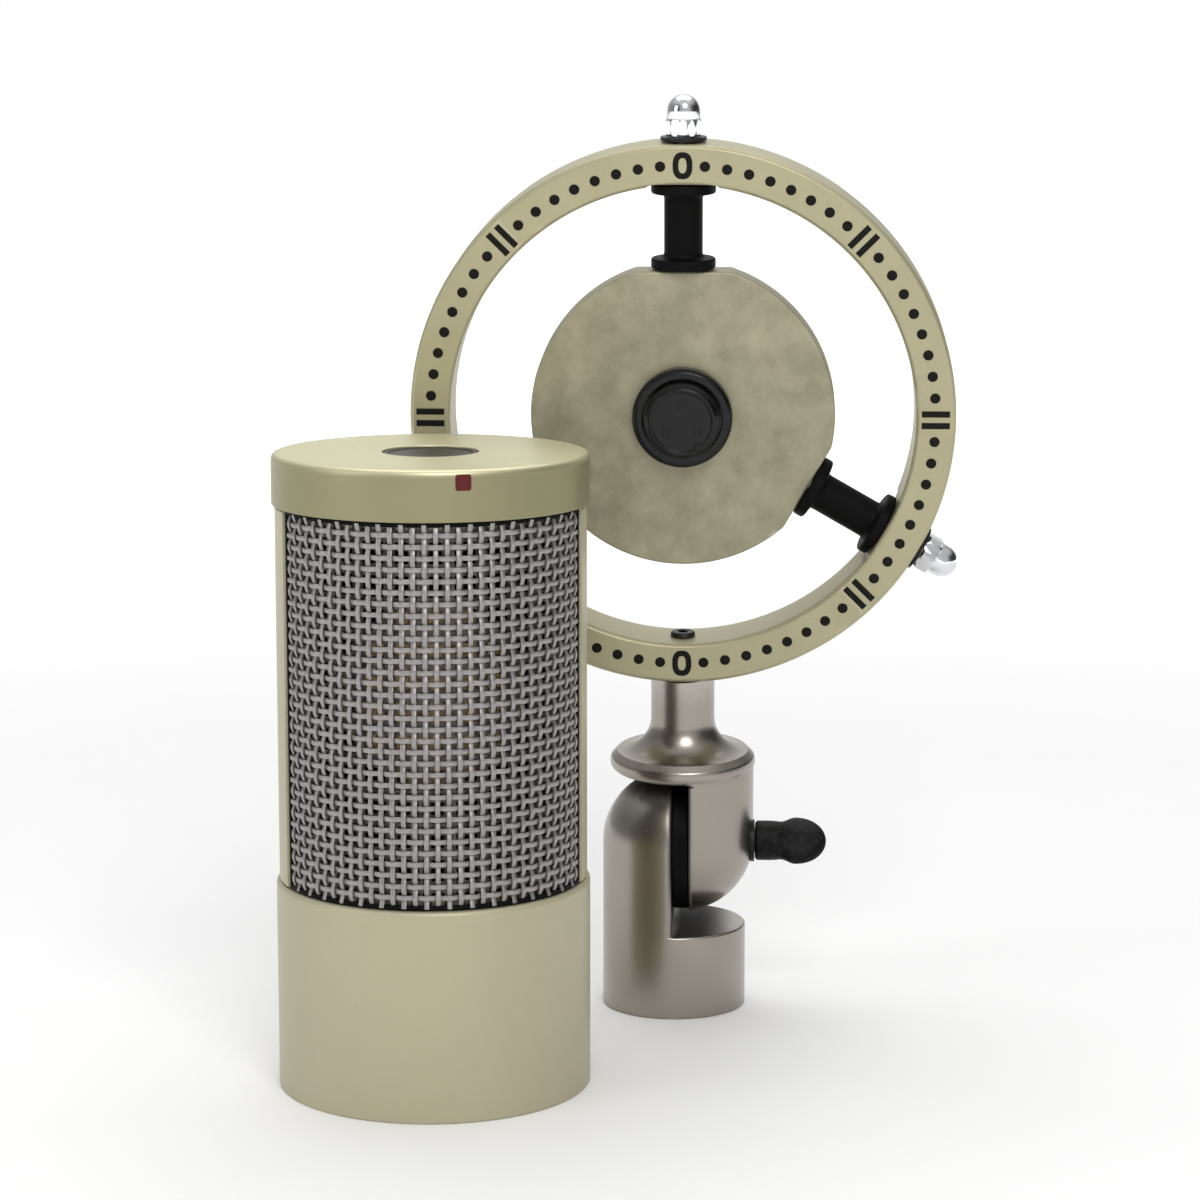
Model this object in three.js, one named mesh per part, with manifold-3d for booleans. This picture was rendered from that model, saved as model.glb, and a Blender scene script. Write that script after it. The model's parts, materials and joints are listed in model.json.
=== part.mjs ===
// A side-address studio microphone standing in front of its graduated ring shock mount.
// Millimetres, +Z up. The ring's scale looks towards -Y, and so, nearly, does the microphone.
import * as THREE from 'three';
import { mergeVertices } from 'three/addons/utils/BufferGeometryUtils.js';
import Module from 'manifold-3d';

// ---- Fits used everywhere
const gap = 0.3;                 // left between pieces that touch
const boltClearance = 0.3;       // around screws, studs and pins
const overcut = 5;               // how far a cutting shape runs past the piece it cuts

// ---- Where the microphone stands, from the ring's centre line
const micPlaceX = -46;
const micPlaceY = -56.7;
const micTurn = 7.5;             // degrees, front turned towards +X

// ---- Microphone: outside
const micRadius = 30;
const bodyHeight = 40.3;
const windowHeight = 71.5;
const capHeight = 9.6;
const shellWall = 2.5;
const edgeRound = 0.8;
const postHalfAngle = 19;        // degrees, each side post
const postInset = 0.6;           // the posts stand this far inside the body's radius
const postDepth = 4.2;
const meshGroove = 0.55;         // open line between post and mesh
const meshInset = 0.9;           // outer mesh, below the body's radius
const meshThickness = 0.5;
const meshSpacing = 0.8;         // from the outer mesh to the inner one

// ---- Microphone: head frame
const railWall = 2.6;
const spigotDepth = 7;
const railHeight = 1.5;          // shows behind the mesh at each end of the window
const capSpigotShort = 0.4;      // left between the spigot and the cap's roof
const frameLipWidth = 2.4;
const frameLipHeight = 2;
const capLipWidth = 5;

// ---- Microphone: cap
const capTopThickness = 3;
const inlayRadius = 8.8;
const inlayThickness = 0.8;
const inlaySunk = 0.2;
const markSize = 3;
const markDepth = 0.7;
const markBelowTop = 2.3;        // centre of the mark, below the cap's top
const markAngle = 9.7;           // degrees, from the middle of the window
const capScrewRadius = 1;
const capScrewHead = 2;
const capScrewHeadHeight = 1.3;
const capScrewGrip = 1.8;        // length inside the cap

// ---- Microphone: bottom
const bottomSunk = 0.6;
const bottomThickness = 3;
const shellLedgeWidth = 5;
const shellLedgeHeight = 2;
const bottomScrewRadius = 1.25;
const bottomScrewHead = 2.2;
const bottomScrewHeadHeight = 1.3;
const bottomScrewInset = 2.9;    // screw centres, in from the shell's inner wall
const bottomScrewPast = 1;       // the screws' ends, above the ledge
const cupClearance = 0.8;        // around the hub that plugs in
const cupWall = 1.4;
const cupFloor = 2.5;
const cupFlangeWidth = 2.3;
const cupFlangeHeight = 1.5;
const cupDepthSpare = 0.9;
const contactRadius = 0.8;
const contactCircle = 3.6;
const contactLength = 3.2;
const contactPlateRadius = 6.5;
const contactPlateThickness = 1;
const contactAngles = [90, 210, 330];

// ---- Microphone: inside
const deckThickness = 2;
const wireHoleRadius = 2.5;
const wireHolePlaces = [-12, 12];
const capsuleRadius = 17.5;
const capsuleWall = 1.9;
const capsuleThickness = 9;
const backplateThickness = 5;
const diaphragmThickness = 0.4;
const saddleWidth = 14;
const saddleThickness = 7;
const saddleRise = 5;            // how far the saddle reaches up round the capsule
const saddleFootRadius = 9;
const saddleFootHeight = 2;
const saddleFootOverlap = 1;     // the stem starts this far inside the foot
const boardClearance = 0.7;      // between the board and the frame's lip
const boardThickness = 1.6;
const standoffRadius = 2.2;
const standoffInset = 5.2;       // standoff centres, in from the frame's lip
const standoffAngles = [30, 150, 270];
const transformerSize = [18, 14, 10.5];
const transformerPlace = [-8, 2];
const transformerRound = 1.5;
const transformerLift = 1.4;     // over the contact plate
const capacitorRadius = 4;
const capacitorLength = 9;
const capacitorPlace = [12, -3];

// ---- Ring
const ringRadius = 54.5;
const ringWall = 8;
const ringDepth = 14;
const ringChamfer = 0.5;
const restLean = 4.5;            // degrees, how far the ring leans forward as it stands
const isolatorAngles = [0, 120, 240];
const isolatorNames = ['top', 'right', 'left'];
const nutFlatSink = 0.2;
const isolatorFlatSink = 0.1;

// ---- Isolators, studs and nuts
const isolatorFlange = 6.45;
const isolatorFlangeHeight = 2.1;
const isolatorNeck = 3.85;
const isolatorFillet = 2;
const isolatorRound = 0.6;
const isolatorSpan = 17.5;       // from the disc's flats to the ring's inside
const studRadius = 2;
const studInRubber = 3.6;
const studInDisc = 6;
const washerRadius = 4.6;
const washerThickness = 0.8;
const nutAcrossFlats = 7;
const nutHexHeight = 3.2;
const nutHeight = 8;
const nutDomeRadius = 3.25;
const nutThreadDepth = 5.5;
const nutBevel = 0.5;

// ---- Disc and hub
const discFlatCut = 1.5;         // how deep each flat is cut
const discThickness = 8;
const discChamfer = 0.4;
const discSetBack = 3;           // front face behind the ring's front face
const collarRadius = 10;
const collarHeight = 3.2;
const collarChamfer = 0.6;
const plugRadius = 7.6;
const plugHeight = 6.8;
const plugChamfer = 0.9;
const plugShankRadius = 5.5;
const indexRadius = 0.7;
const indexPlace = [3.2, -4.9];
const indexProud = 0.4;
const indexDepth = 2;

// ---- Rear connector
const rearFlangeRadius = 12;
const rearFlangeThickness = 1.6;
const rearShellRadius = 9.5;
const rearShellWall = 1.3;
const rearShellLength = 14;
const rearInsertLength = 5;
const rearPinRadius = 1.1;
const rearPinCircle = 4.4;
const rearPinLength = 6;
const rearPinAngles = [60, 180, 300];

// ---- Swivel
const baseRadius = 14.75;
const baseHeight = 17.2;
const lugFloorClearance = 2.7;   // between the head's lug and the base's step
const lugInset = 0.15;           // the head's lug, inside the base's radius
const headOffset = 1.7;          // the head stands this far to +X of the base
const slotWidth = 3.55;          // between the two lugs
const slotPlace = -1.95;         // the base lug's inner face, from the head's centre line
const ledgeProud = 0.15;         // the ledge, outside the base's radius
const ledgeClearance = 0.9;      // over the base lug's dome
const ledgeUnderRound = 1.6;
const ledgeTopRound = 2.4;
const ledgeShoulder = [0.25, 1.32];   // in from the ledge's rim, up from its middle
const flareInset = 1.44;         // foot of the flare, in from the ledge's rim
const flareRise = 7;
const neckRadius = 6.5;
const neckLength = 8.85;         // from the flare up to the ring
const baseChamfer = 0.5;
const frictionWasherInset = 0.95;   // inside the base's radius
const standThreadRadius = 7.94;
const adapterBore = 4.76;
const adapterLength = 10;
const adapterSunk = 0.6;
const threadFloor = 2.5;         // left between the stand thread and the base's step

// ---- Ring screw
const ringScrewRadius = 2;
const ringScrewHead = 2.8;
const ringScrewHeadHeight = 1.6;
const ringScrewRound = 0.7;
const ringScrewInNeck = 8;
const hexKeyFlat = 2;
const hexKeyDepth = 0.8;

// ---- Thumb screw
const clampRadius = 2.5;
const clampInBase = 8;
const spotFaceRadius = 5;
const spotFaceSink = 0.9;        // below the head lug's surface
const clampWasherRadius = 4.4;
const clampWasherThickness = 0.9;
const gripHubRadius = 4.1;
const gripHubLength = 5;
const gripRound = 1.2;
const paddleSink = 1.5;          // the paddle starts this far inside the hub
const paddleLength = 11;
const paddleWidth = 12.5;
const paddleThickness = 5;
const paddleTurn = 38;           // degrees, the paddle's flat from level
const shankInGrip = 4;

// ---- How finely round things are cut
const bigSegments = 36;
const ringSegments = 54;
const middleSegments = 24;
const smallSegments = 14;
const tinySegments = 8;
const paddleSegments = [16, 8];
const hexSides = 6;
const edgeSteps = 2;
const arcSteps = 3;
const roundSteps = 4;
const domeSteps = 6;
const sectorSteps = 11;

const degrees = Math.PI / 180;

// ---- Materials
const finishes = {
  champagne: { color: 0xb9b392, roughness: 0.55, metalness: 0.35 },
  satinNickel: { color: 0x968e84, roughness: 0.38, metalness: 0.85 },
  chrome: { color: 0xd8dadc, roughness: 0.12, metalness: 1 },
  wireMesh: { color: 0x9a9494, roughness: 0.45, metalness: 0.8 },
  blackRubber: { color: 0x111112, roughness: 0.8, metalness: 0 },
  blackPlastic: { color: 0x141416, roughness: 0.45, metalness: 0 },
  darkSteel: { color: 0x2a2a2c, roughness: 0.45, metalness: 0.7 },
  steel: { color: 0x8f9296, roughness: 0.35, metalness: 0.9 },
  brass: { color: 0xb08d4f, roughness: 0.35, metalness: 0.9 },
  gold: { color: 0xc9a44c, roughness: 0.3, metalness: 0.9 },
  bronzeInlay: { color: 0x5d5640, roughness: 0.5, metalness: 0.4 },
  redMark: { color: 0x9c2018, roughness: 0.5, metalness: 0 },
  circuitGreen: { color: 0x1f4a30, roughness: 0.6, metalness: 0 },
};
const materials = Object.fromEntries(
  Object.entries(finishes).map(([name, look]) => [name, new THREE.MeshStandardMaterial(look)]),
);

// ---- Cutting and joining
const wasm = await Module();
wasm.setup();

function toSolid(geometry) {
  const loose = geometry.index ? geometry.toNonIndexed() : geometry.clone();
  loose.deleteAttribute('normal');
  loose.deleteAttribute('uv');
  const merged = mergeVertices(loose, 1e-4);
  return new wasm.Manifold(new wasm.Mesh({
    numProp: 3,
    vertProperties: merged.attributes.position.array,
    triVerts: new Uint32Array(merged.index.array),
  }));
}

function toGeometry(solid) {
  const mesh = solid.getMesh();
  const geometry = new THREE.BufferGeometry();
  geometry.setAttribute('position', new THREE.Float32BufferAttribute(mesh.vertProperties, 3));
  geometry.setIndex(Array.from(mesh.triVerts));
  geometry.computeVertexNormals();
  return geometry;
}

function cut(body, ...tools) {
  return toGeometry(tools.reduce((left, tool) => left.subtract(toSolid(tool)), toSolid(body)));
}

function join(first, ...others) {
  return toGeometry(others.reduce((whole, other) => whole.add(toSolid(other)), toSolid(first)));
}

function keepInside(body, limit) {
  return toGeometry(toSolid(body).intersect(toSolid(limit)));
}

// ---- Basic shapes, all drawn along +Z
// A profile of [radius, z] points turned round the Z axis, anticlockwise when r points right.
function turned(profile, segments) {
  const points = profile.map(([r, z]) => new THREE.Vector2(r, z));
  return new THREE.LatheGeometry(points, segments).rotateX(Math.PI / 2);
}

function rod(radius, low, high, segments) {
  return turned([[0, low], [radius, low], [radius, high], [0, high]], segments);
}

function tube(inner, outer, low, high, segments) {
  return turned([[inner, low], [outer, low], [outer, high], [inner, high], [inner, low]], segments);
}

function block(low, high) {
  const size = high.map((value, i) => value - low[i]);
  const middle = high.map((value, i) => (value + low[i]) / 2);
  return new THREE.BoxGeometry(...size).translate(...middle);
}

// Points on an arc of the (radius, z) plane.
function arc(centreR, centreZ, radius, from, to, steps = arcSteps) {
  return Array.from({ length: steps + 1 }, (_, i) => {
    const angle = (from + ((to - from) * i) / steps) * degrees;
    return [centreR + radius * Math.cos(angle), centreZ + radius * Math.sin(angle)];
  });
}

// A curved plate: part of a tube, its middle towards the angle given in degrees.
function sector(inner, outer, middle, halfAngle, low, high) {
  const from = (middle - halfAngle) * degrees;
  const to = (middle + halfAngle) * degrees;
  const shape = new THREE.Shape();
  shape.absarc(0, 0, outer, from, to, false);
  shape.absarc(0, 0, inner, to, from, true);
  const options = { depth: high - low, bevelEnabled: false, curveSegments: sectorSteps };
  return new THREE.ExtrudeGeometry(shape, options).translate(0, 0, low);
}

const polar = (radius, angle) => [radius * Math.cos(angle * degrees), radius * Math.sin(angle * degrees)];
const facingFront = (geometry) => geometry.rotateX(Math.PI / 2);      // +Z turns to -Y
const facingRight = (geometry) => geometry.rotateY(Math.PI / 2);      // +Z turns to +X
const facingOut = (geometry, angle) => geometry.rotateY(angle * degrees);

function piece(parent, name, material, geometry) {
  const mesh = new THREE.Mesh(geometry, materials[material]);
  mesh.name = name;
  parent.add(mesh);
  return mesh;
}

// ==== The microphone, drawn with its front towards -Y and its foot at z = 0
const front = -90;               // degrees round Z
const rear = 90;
const windowLow = bodyHeight + gap;
const windowTop = windowLow + windowHeight;
const capLow = windowTop + gap;
const capTop = capLow + capHeight;
const shellInner = micRadius - shellWall;
const bottomScrewCircle = shellInner - bottomScrewInset;
const spigotRadius = shellInner - gap;
const railInner = spigotRadius - railWall;
const lipInner = railInner - frameLipWidth;
const frameLow = bodyHeight - spigotDepth;
const frameTop = capLow + capHeight - capTopThickness - capSpigotShort;
const windowHalfAngle = 90 - postHalfAngle;
const hubReach = plugHeight;     // what the socket takes in

function bodyShell() {
  const ledgeLow = bottomSunk + bottomThickness + gap;
  const ledgeTop = ledgeLow + shellLedgeHeight;
  const ledgeInner = shellInner - shellLedgeWidth;
  const half = edgeRound / 2;
  const screwHoles = contactAngles.map((angle) => {
    const [x, y] = polar(bottomScrewCircle, angle);
    const hole = rod(bottomScrewRadius + boltClearance, 0, ledgeTop + overcut, tinySegments);
    return hole.translate(x, y, 0);
  });
  return cut(turned([
    [shellInner, 0],
    ...arc(micRadius - half, half, half, -90, 0, edgeSteps),
    ...arc(micRadius - edgeRound, bodyHeight - edgeRound, edgeRound, 0, 90, edgeSteps),
    [shellInner, bodyHeight],
    [shellInner, ledgeTop],
    [ledgeInner, ledgeTop],
    [ledgeInner, ledgeLow],
    [shellInner, ledgeLow],
    [shellInner, 0],
  ], bigSegments), ...screwHoles);
}

const cupInner = collarRadius + cupClearance;
const cupOuter = cupInner + cupWall;
const cupMouth = bottomSunk;
const cupFloorZ = cupMouth + hubReach + cupDepthSpare;
const plateTop = bottomSunk + bottomThickness;
const contactPlateTop = cupFloorZ + cupFloor + gap + contactPlateThickness;

function bottomPlate() {
  const holes = contactAngles.flatMap((angle) => {
    const [x, y] = polar(bottomScrewCircle, angle);
    const head = bottomSunk + gap + bottomScrewHeadHeight + gap;
    return [
      rod(bottomScrewRadius + boltClearance, -overcut, plateTop + overcut, tinySegments).translate(x, y, 0),
      rod(bottomScrewHead + boltClearance, -overcut, head, smallSegments).translate(x, y, 0),
    ];
  });
  return cut(tube(cupOuter + gap, shellInner - gap, bottomSunk, plateTop, bigSegments), ...holes);
}

function bottomScrew() {
  const headLow = bottomSunk + gap;
  const headTop = headLow + bottomScrewHeadHeight;
  const screwTop = plateTop + gap + shellLedgeHeight + bottomScrewPast;
  const keyRadius = bottomScrewHead / 2;
  const body = turned([
    [0, headLow], [bottomScrewHead, headLow], [bottomScrewHead, headTop],
    [bottomScrewRadius, headTop], [bottomScrewRadius, screwTop], [0, screwTop],
  ], smallSegments);
  return cut(body, rod(keyRadius, -overcut, headLow + hexKeyDepth, hexSides));
}

function socketCup() {
  const flangeLow = plateTop + gap;
  const flangeTop = flangeLow + cupFlangeHeight;
  const top = cupFloorZ + cupFloor;
  const body = turned([
    [cupInner, cupMouth], [cupOuter, cupMouth], [cupOuter, flangeLow],
    [cupOuter + cupFlangeWidth, flangeLow], [cupOuter + cupFlangeWidth, flangeTop],
    [cupOuter, flangeTop], [cupOuter, top], [0, top], [0, cupFloorZ], [cupInner, cupFloorZ],
    [cupInner, cupMouth],
  ], middleSegments);
  return cut(body, ...contactAngles.map((angle) => {
    const [x, y] = polar(contactCircle, angle);
    return rod(contactRadius + boltClearance, 0, top + overcut, tinySegments).translate(x, y, 0);
  }));
}

function contactSet() {
  const plateLow = contactPlateTop - contactPlateThickness;
  const plate = rod(contactPlateRadius, plateLow, contactPlateTop, smallSegments);
  return join(plate, ...contactAngles.map((angle) => {
    const [x, y] = polar(contactCircle, angle);
    const tip = cupFloorZ - contactLength;
    return rod(contactRadius, tip, plateLow + contactPlateThickness / 2, tinySegments).translate(x, y, 0);
  }));
}

// The spigots that enter the body and the cap, with the two side posts between them.
function headFrame() {
  const lower = turned([
    [lipInner, frameLow], [spigotRadius, frameLow],
    [spigotRadius, windowLow + railHeight], [railInner, windowLow + railHeight],
    [railInner, frameLow + frameLipHeight], [lipInner, frameLow + frameLipHeight],
    [lipInner, frameLow],
  ], bigSegments);
  const lipLow = frameTop - frameLipHeight;
  const upper = turned([
    [railInner, windowTop - railHeight], [spigotRadius, windowTop - railHeight],
    [spigotRadius, frameTop], [railInner - capLipWidth, frameTop],
    [railInner - capLipWidth, lipLow], [railInner, lipLow],
    [railInner, windowTop - railHeight],
  ], bigSegments);
  const outer = micRadius - postInset;
  const posts = [0, 180].map((angle) =>
    sector(outer - postDepth, outer, angle, postHalfAngle, windowLow, windowTop));
  const screwHoles = capScrewPlaces.map(([x, y]) =>
    rod(capScrewRadius + boltClearance, lipLow - overcut, frameTop + overcut, tinySegments).translate(x, y, 0));
  return cut(join(lower, upper, ...posts), ...screwHoles);
}

const capScrewPlaces = [0, 180].map((angle) => polar(railInner - capLipWidth / 2, angle));

const outerMeshRadius = micRadius - meshInset;
const innerMeshRadius = outerMeshRadius - meshThickness - meshSpacing;

function meshPlate(radius, middle) {
  const openAngle = meshGroove / (radius * degrees);
  return sector(radius - meshThickness, radius, middle, windowHalfAngle - openAngle, windowLow, windowTop);
}

function topCap() {
  const skirtInner = shellInner;
  const roof = capTop - capTopThickness;
  const pocketLow = capTop - inlaySunk - inlayThickness - gap;
  const body = turned([
    [skirtInner, capLow], [micRadius, capLow],
    ...arc(micRadius - edgeRound, capTop - edgeRound, edgeRound, 0, 90, edgeSteps),
    [inlayRadius + gap, capTop], [inlayRadius + gap, pocketLow], [0, pocketLow],
    [0, roof], [skirtInner, roof], [skirtInner, capLow],
  ], bigSegments);
  const screwHoles = capScrewPlaces.map(([x, y]) => {
    const depth = capScrewGrip + gap;
    return rod(capScrewRadius + boltClearance, roof - overcut, roof + depth, tinySegments).translate(x, y, 0);
  });
  return cut(body, ...screwHoles, markBlock(markSize + 2 * gap, markDepth + gap, micRadius + overcut));
}

// A square block at the front of the cap, from below its surface out to the radius given.
function markBlock(size, depth, outTo) {
  const half = size / 2;
  const middle = capTop - markBelowTop;
  const plain = block([-half, -outTo, middle - half], [half, -(micRadius - depth), middle + half]);
  return plain.rotateZ(markAngle * degrees);
}

function frontMark() {
  return keepInside(
    markBlock(markSize, markDepth, micRadius + overcut),
    rod(micRadius, capLow, capTop, bigSegments),
  );
}

function capScrew() {
  const lipLow = frameTop - frameLipHeight;
  const headTop = lipLow - gap;
  const headLow = headTop - capScrewHeadHeight;
  const screwTop = capTop - capTopThickness + capScrewGrip;
  return turned([
    [0, headLow], [capScrewHead, headLow], [capScrewHead, headTop],
    [capScrewRadius, headTop], [capScrewRadius, screwTop], [0, screwTop],
  ], tinySegments);
}

const deckLow = frameLow + frameLipHeight + gap;
const deckTop = deckLow + deckThickness;
const capsuleZ = (windowLow + windowTop) / 2;
const capsuleInner = capsuleRadius - capsuleWall;

function deckPlate() {
  const wireHoles = wireHolePlaces.map((x) =>
    rod(wireHoleRadius, deckLow - overcut, deckTop + overcut, tinySegments).translate(x, 0, 0));
  return cut(rod(railInner - gap, deckLow, deckTop, bigSegments), ...wireHoles);
}

function capsuleSaddle() {
  const low = deckTop + gap;
  const halfWidth = saddleWidth / 2;
  const halfThickness = saddleThickness / 2;
  const top = capsuleZ - capsuleRadius + saddleRise;
  const foot = rod(saddleFootRadius, low, low + saddleFootHeight, smallSegments);
  const stem = block([-halfWidth, -halfThickness, low + saddleFootOverlap], [halfWidth, halfThickness, top]);
  const seat = rod(capsuleRadius + gap, -overcut - halfThickness, overcut + halfThickness, middleSegments);
  return cut(join(foot, stem), facingFront(seat).translate(0, 0, capsuleZ));
}

// Capsule pieces are drawn round Z and then turned to face the window.
function capsuleDisc(radius, low, high) {
  return facingFront(rod(radius, low, high, middleSegments)).translate(0, 0, capsuleZ);
}

function capsuleRing() {
  const half = capsuleThickness / 2;
  const ring = tube(capsuleInner, capsuleRadius, -half, half, middleSegments);
  return facingFront(ring).translate(0, 0, capsuleZ);
}

const boardRadius = lipInner - boardClearance;
const standoffCircle = lipInner - standoffInset;
const transformerLow = contactPlateTop + transformerLift;
const boardLow = transformerLow + transformerSize[2] + gap;
const boardTop = boardLow + boardThickness;

function transformer() {
  const [width, depth, height] = transformerSize;
  const halfW = width / 2;
  const halfD = depth / 2;
  const r = transformerRound;
  const shape = new THREE.Shape();
  shape.absarc(halfW - r, halfD - r, r, 0, Math.PI / 2, false);
  shape.absarc(-halfW + r, halfD - r, r, Math.PI / 2, Math.PI, false);
  shape.absarc(-halfW + r, -halfD + r, r, Math.PI, 1.5 * Math.PI, false);
  shape.absarc(halfW - r, -halfD + r, r, 1.5 * Math.PI, 2 * Math.PI, false);
  const body = new THREE.ExtrudeGeometry(shape, { depth: height, bevelEnabled: false, curveSegments: 2 });
  return body.translate(...transformerPlace, transformerLow);
}

function makeMicrophone() {
  const mic = new THREE.Group();
  piece(mic, 'body_shell', 'champagne', bodyShell());
  piece(mic, 'bottom_plate', 'champagne', bottomPlate());
  contactAngles.forEach((angle, i) => {
    const [x, y] = polar(bottomScrewCircle, angle);
    piece(mic, `bottom_screw_${i + 1}`, 'darkSteel', bottomScrew()).position.set(x, y, 0);
  });
  piece(mic, 'socket_cup', 'blackPlastic', socketCup());
  piece(mic, 'socket_contacts', 'gold', contactSet());
  piece(mic, 'head_frame', 'champagne', headFrame());
  piece(mic, 'outer_mesh_front', 'wireMesh', meshPlate(outerMeshRadius, front));
  piece(mic, 'outer_mesh_rear', 'wireMesh', meshPlate(outerMeshRadius, rear));
  piece(mic, 'inner_mesh_front', 'wireMesh', meshPlate(innerMeshRadius, front));
  piece(mic, 'inner_mesh_rear', 'wireMesh', meshPlate(innerMeshRadius, rear));
  piece(mic, 'top_cap', 'champagne', topCap());
  const inlayTop = capTop - inlaySunk;
  piece(mic, 'cap_inlay', 'bronzeInlay', rod(inlayRadius, inlayTop - inlayThickness, inlayTop, middleSegments));
  piece(mic, 'front_mark', 'redMark', frontMark());
  capScrewPlaces.forEach(([x, y], i) => {
    piece(mic, `cap_screw_${i + 1}`, 'steel', capScrew()).position.set(x, y, 0);
  });
  piece(mic, 'deck_plate', 'steel', deckPlate());
  piece(mic, 'capsule_saddle', 'blackPlastic', capsuleSaddle());
  piece(mic, 'capsule_ring', 'brass', capsuleRing());
  const halfPlate = backplateThickness / 2;
  const filmNear = halfPlate + gap;
  const filmFar = filmNear + diaphragmThickness;
  piece(mic, 'capsule_backplate', 'brass', capsuleDisc(capsuleInner - gap, -halfPlate, halfPlate));
  piece(mic, 'diaphragm_front', 'gold', capsuleDisc(capsuleInner - gap, filmNear, filmFar));
  piece(mic, 'diaphragm_rear', 'gold', capsuleDisc(capsuleInner - gap, -filmFar, -filmNear));
  piece(mic, 'circuit_board', 'circuitGreen', rod(boardRadius, boardLow, boardTop, middleSegments));
  standoffAngles.forEach((angle, i) => {
    const post = rod(standoffRadius, boardTop + gap, deckLow - gap, tinySegments);
    const [x, y] = polar(standoffCircle, angle);
    piece(mic, `board_standoff_${i + 1}`, 'brass', post).position.set(x, y, 0);
  });
  piece(mic, 'output_transformer', 'darkSteel', transformer());
  const capacitor = rod(capacitorRadius, boardLow - gap - capacitorLength, boardLow - gap, smallSegments);
  piece(mic, 'coupling_capacitor', 'blackPlastic', capacitor).position.set(...capacitorPlace, 0);
  mic.position.set(micPlaceX, micPlaceY, 0);
  mic.rotation.z = micTurn * degrees;
  return mic;
}

// ==== The swivel's base, standing on the floor, to -X of the head's centre line
const baseX = -headOffset;
const slotHigh = slotPlace + slotWidth;                      // the head lug's inner face
const headLugRadius = baseRadius - lugInset;
const pivotHeight = baseHeight + lugFloorClearance + headLugRadius;
const lugTop = pivotHeight + baseRadius;

function swivelBase() {
  const boreTop = baseHeight - threadFloor;
  const body = turned([
    [0, 0],
    [baseRadius - baseChamfer, 0],
    [baseRadius, baseChamfer],
    ...arc(0, pivotHeight, baseRadius, 0, 90, domeSteps),
  ], bigSegments).translate(baseX, 0, 0);
  const slot = block([slotPlace, -baseRadius - overcut, baseHeight], [
    baseRadius + overcut, baseRadius + overcut, lugTop + overcut]);
  const threadHole = rod(standThreadRadius + gap, -overcut, boreTop, middleSegments).translate(baseX, 0, 0);
  const clampHole = rod(clampRadius + boltClearance, -clampInBase - gap, overcut, tinySegments);
  return cut(body, slot, threadHole, facingRight(clampHole).translate(slotPlace, 0, pivotHeight));
}

function frictionWasher() {
  const low = slotPlace + gap;
  const outer = baseRadius - frictionWasherInset;
  const washer = tube(clampRadius + boltClearance, outer, low, slotHigh - gap, middleSegments);
  return facingRight(washer).translate(0, 0, pivotHeight);
}

// ==== The tilting head, drawn from the pivot: z = 0 is the pivot's height
const ledgeZ = baseRadius + ledgeClearance;
const ledgeMiddle = ledgeZ + ledgeUnderRound;
const ledgeTop = ledgeMiddle + ledgeTopRound;
const flareTop = ledgeTop + flareRise;
const ledgeRadius = baseRadius + ledgeProud;
const ringZ = flareTop + neckLength + ringRadius;
const ringInnerRadius = ringRadius - ringWall;
const spotFaceX = headLugRadius - spotFaceSink;

function swivelHead() {
  const lug = turned([
    ...arc(0, 0, headLugRadius, -90, 0, domeSteps),
    [headLugRadius, ledgeMiddle],
    [0, ledgeMiddle],
  ], bigSegments);
  const slotSide = block([-headLugRadius - overcut, -headLugRadius - overcut, -headLugRadius - overcut], [
    slotHigh, headLugRadius + overcut, ledgeZ + overcut]);
  // The flare runs from the ledge to the neck as a quarter of an ellipse, hollow side out.
  const flareFoot = ledgeRadius - flareInset;
  const flareReach = flareFoot - neckRadius;
  const flare = Array.from({ length: domeSteps + 1 }, (_, i) => {
    const angle = (i / domeSteps) * 90 * degrees;
    return [flareFoot - flareReach * Math.sin(angle), flareTop - flareRise * Math.cos(angle)];
  });
  const neckTop = ringZ - ringInnerRadius;
  const upper = turned([
    [0, ledgeZ],
    ...arc(ledgeRadius - ledgeUnderRound, ledgeMiddle, ledgeUnderRound, -90, 0, roundSteps),
    [ledgeRadius - ledgeShoulder[0], ledgeMiddle + ledgeShoulder[1]],
    ...flare,
    [neckRadius, neckTop],
    [0, neckTop],
  ], bigSegments);
  const ringSeat = rod(ringRadius + gap, -ringDepth, ringDepth, ringSegments);
  const screwHole = rod(ringScrewRadius + boltClearance, ringZ - ringRadius - ringScrewInNeck - gap,
    ringZ, tinySegments);
  const clampHole = rod(clampRadius + boltClearance, 0, headLugRadius + overcut, tinySegments);
  const spotFace = rod(spotFaceRadius, spotFaceX, headLugRadius + overcut, smallSegments);
  return cut(
    join(cut(lug, slotSide), upper),
    facingFront(ringSeat).translate(0, 0, ringZ),
    screwHole,
    facingRight(clampHole),
    facingRight(spotFace),
  );
}

// Ring pieces are drawn from the ring's centre.
const studHole = studRadius + boltClearance;
const nutFlat = ringRadius - nutFlatSink;
const isolatorFlat = ringInnerRadius + isolatorFlatSink;

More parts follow.
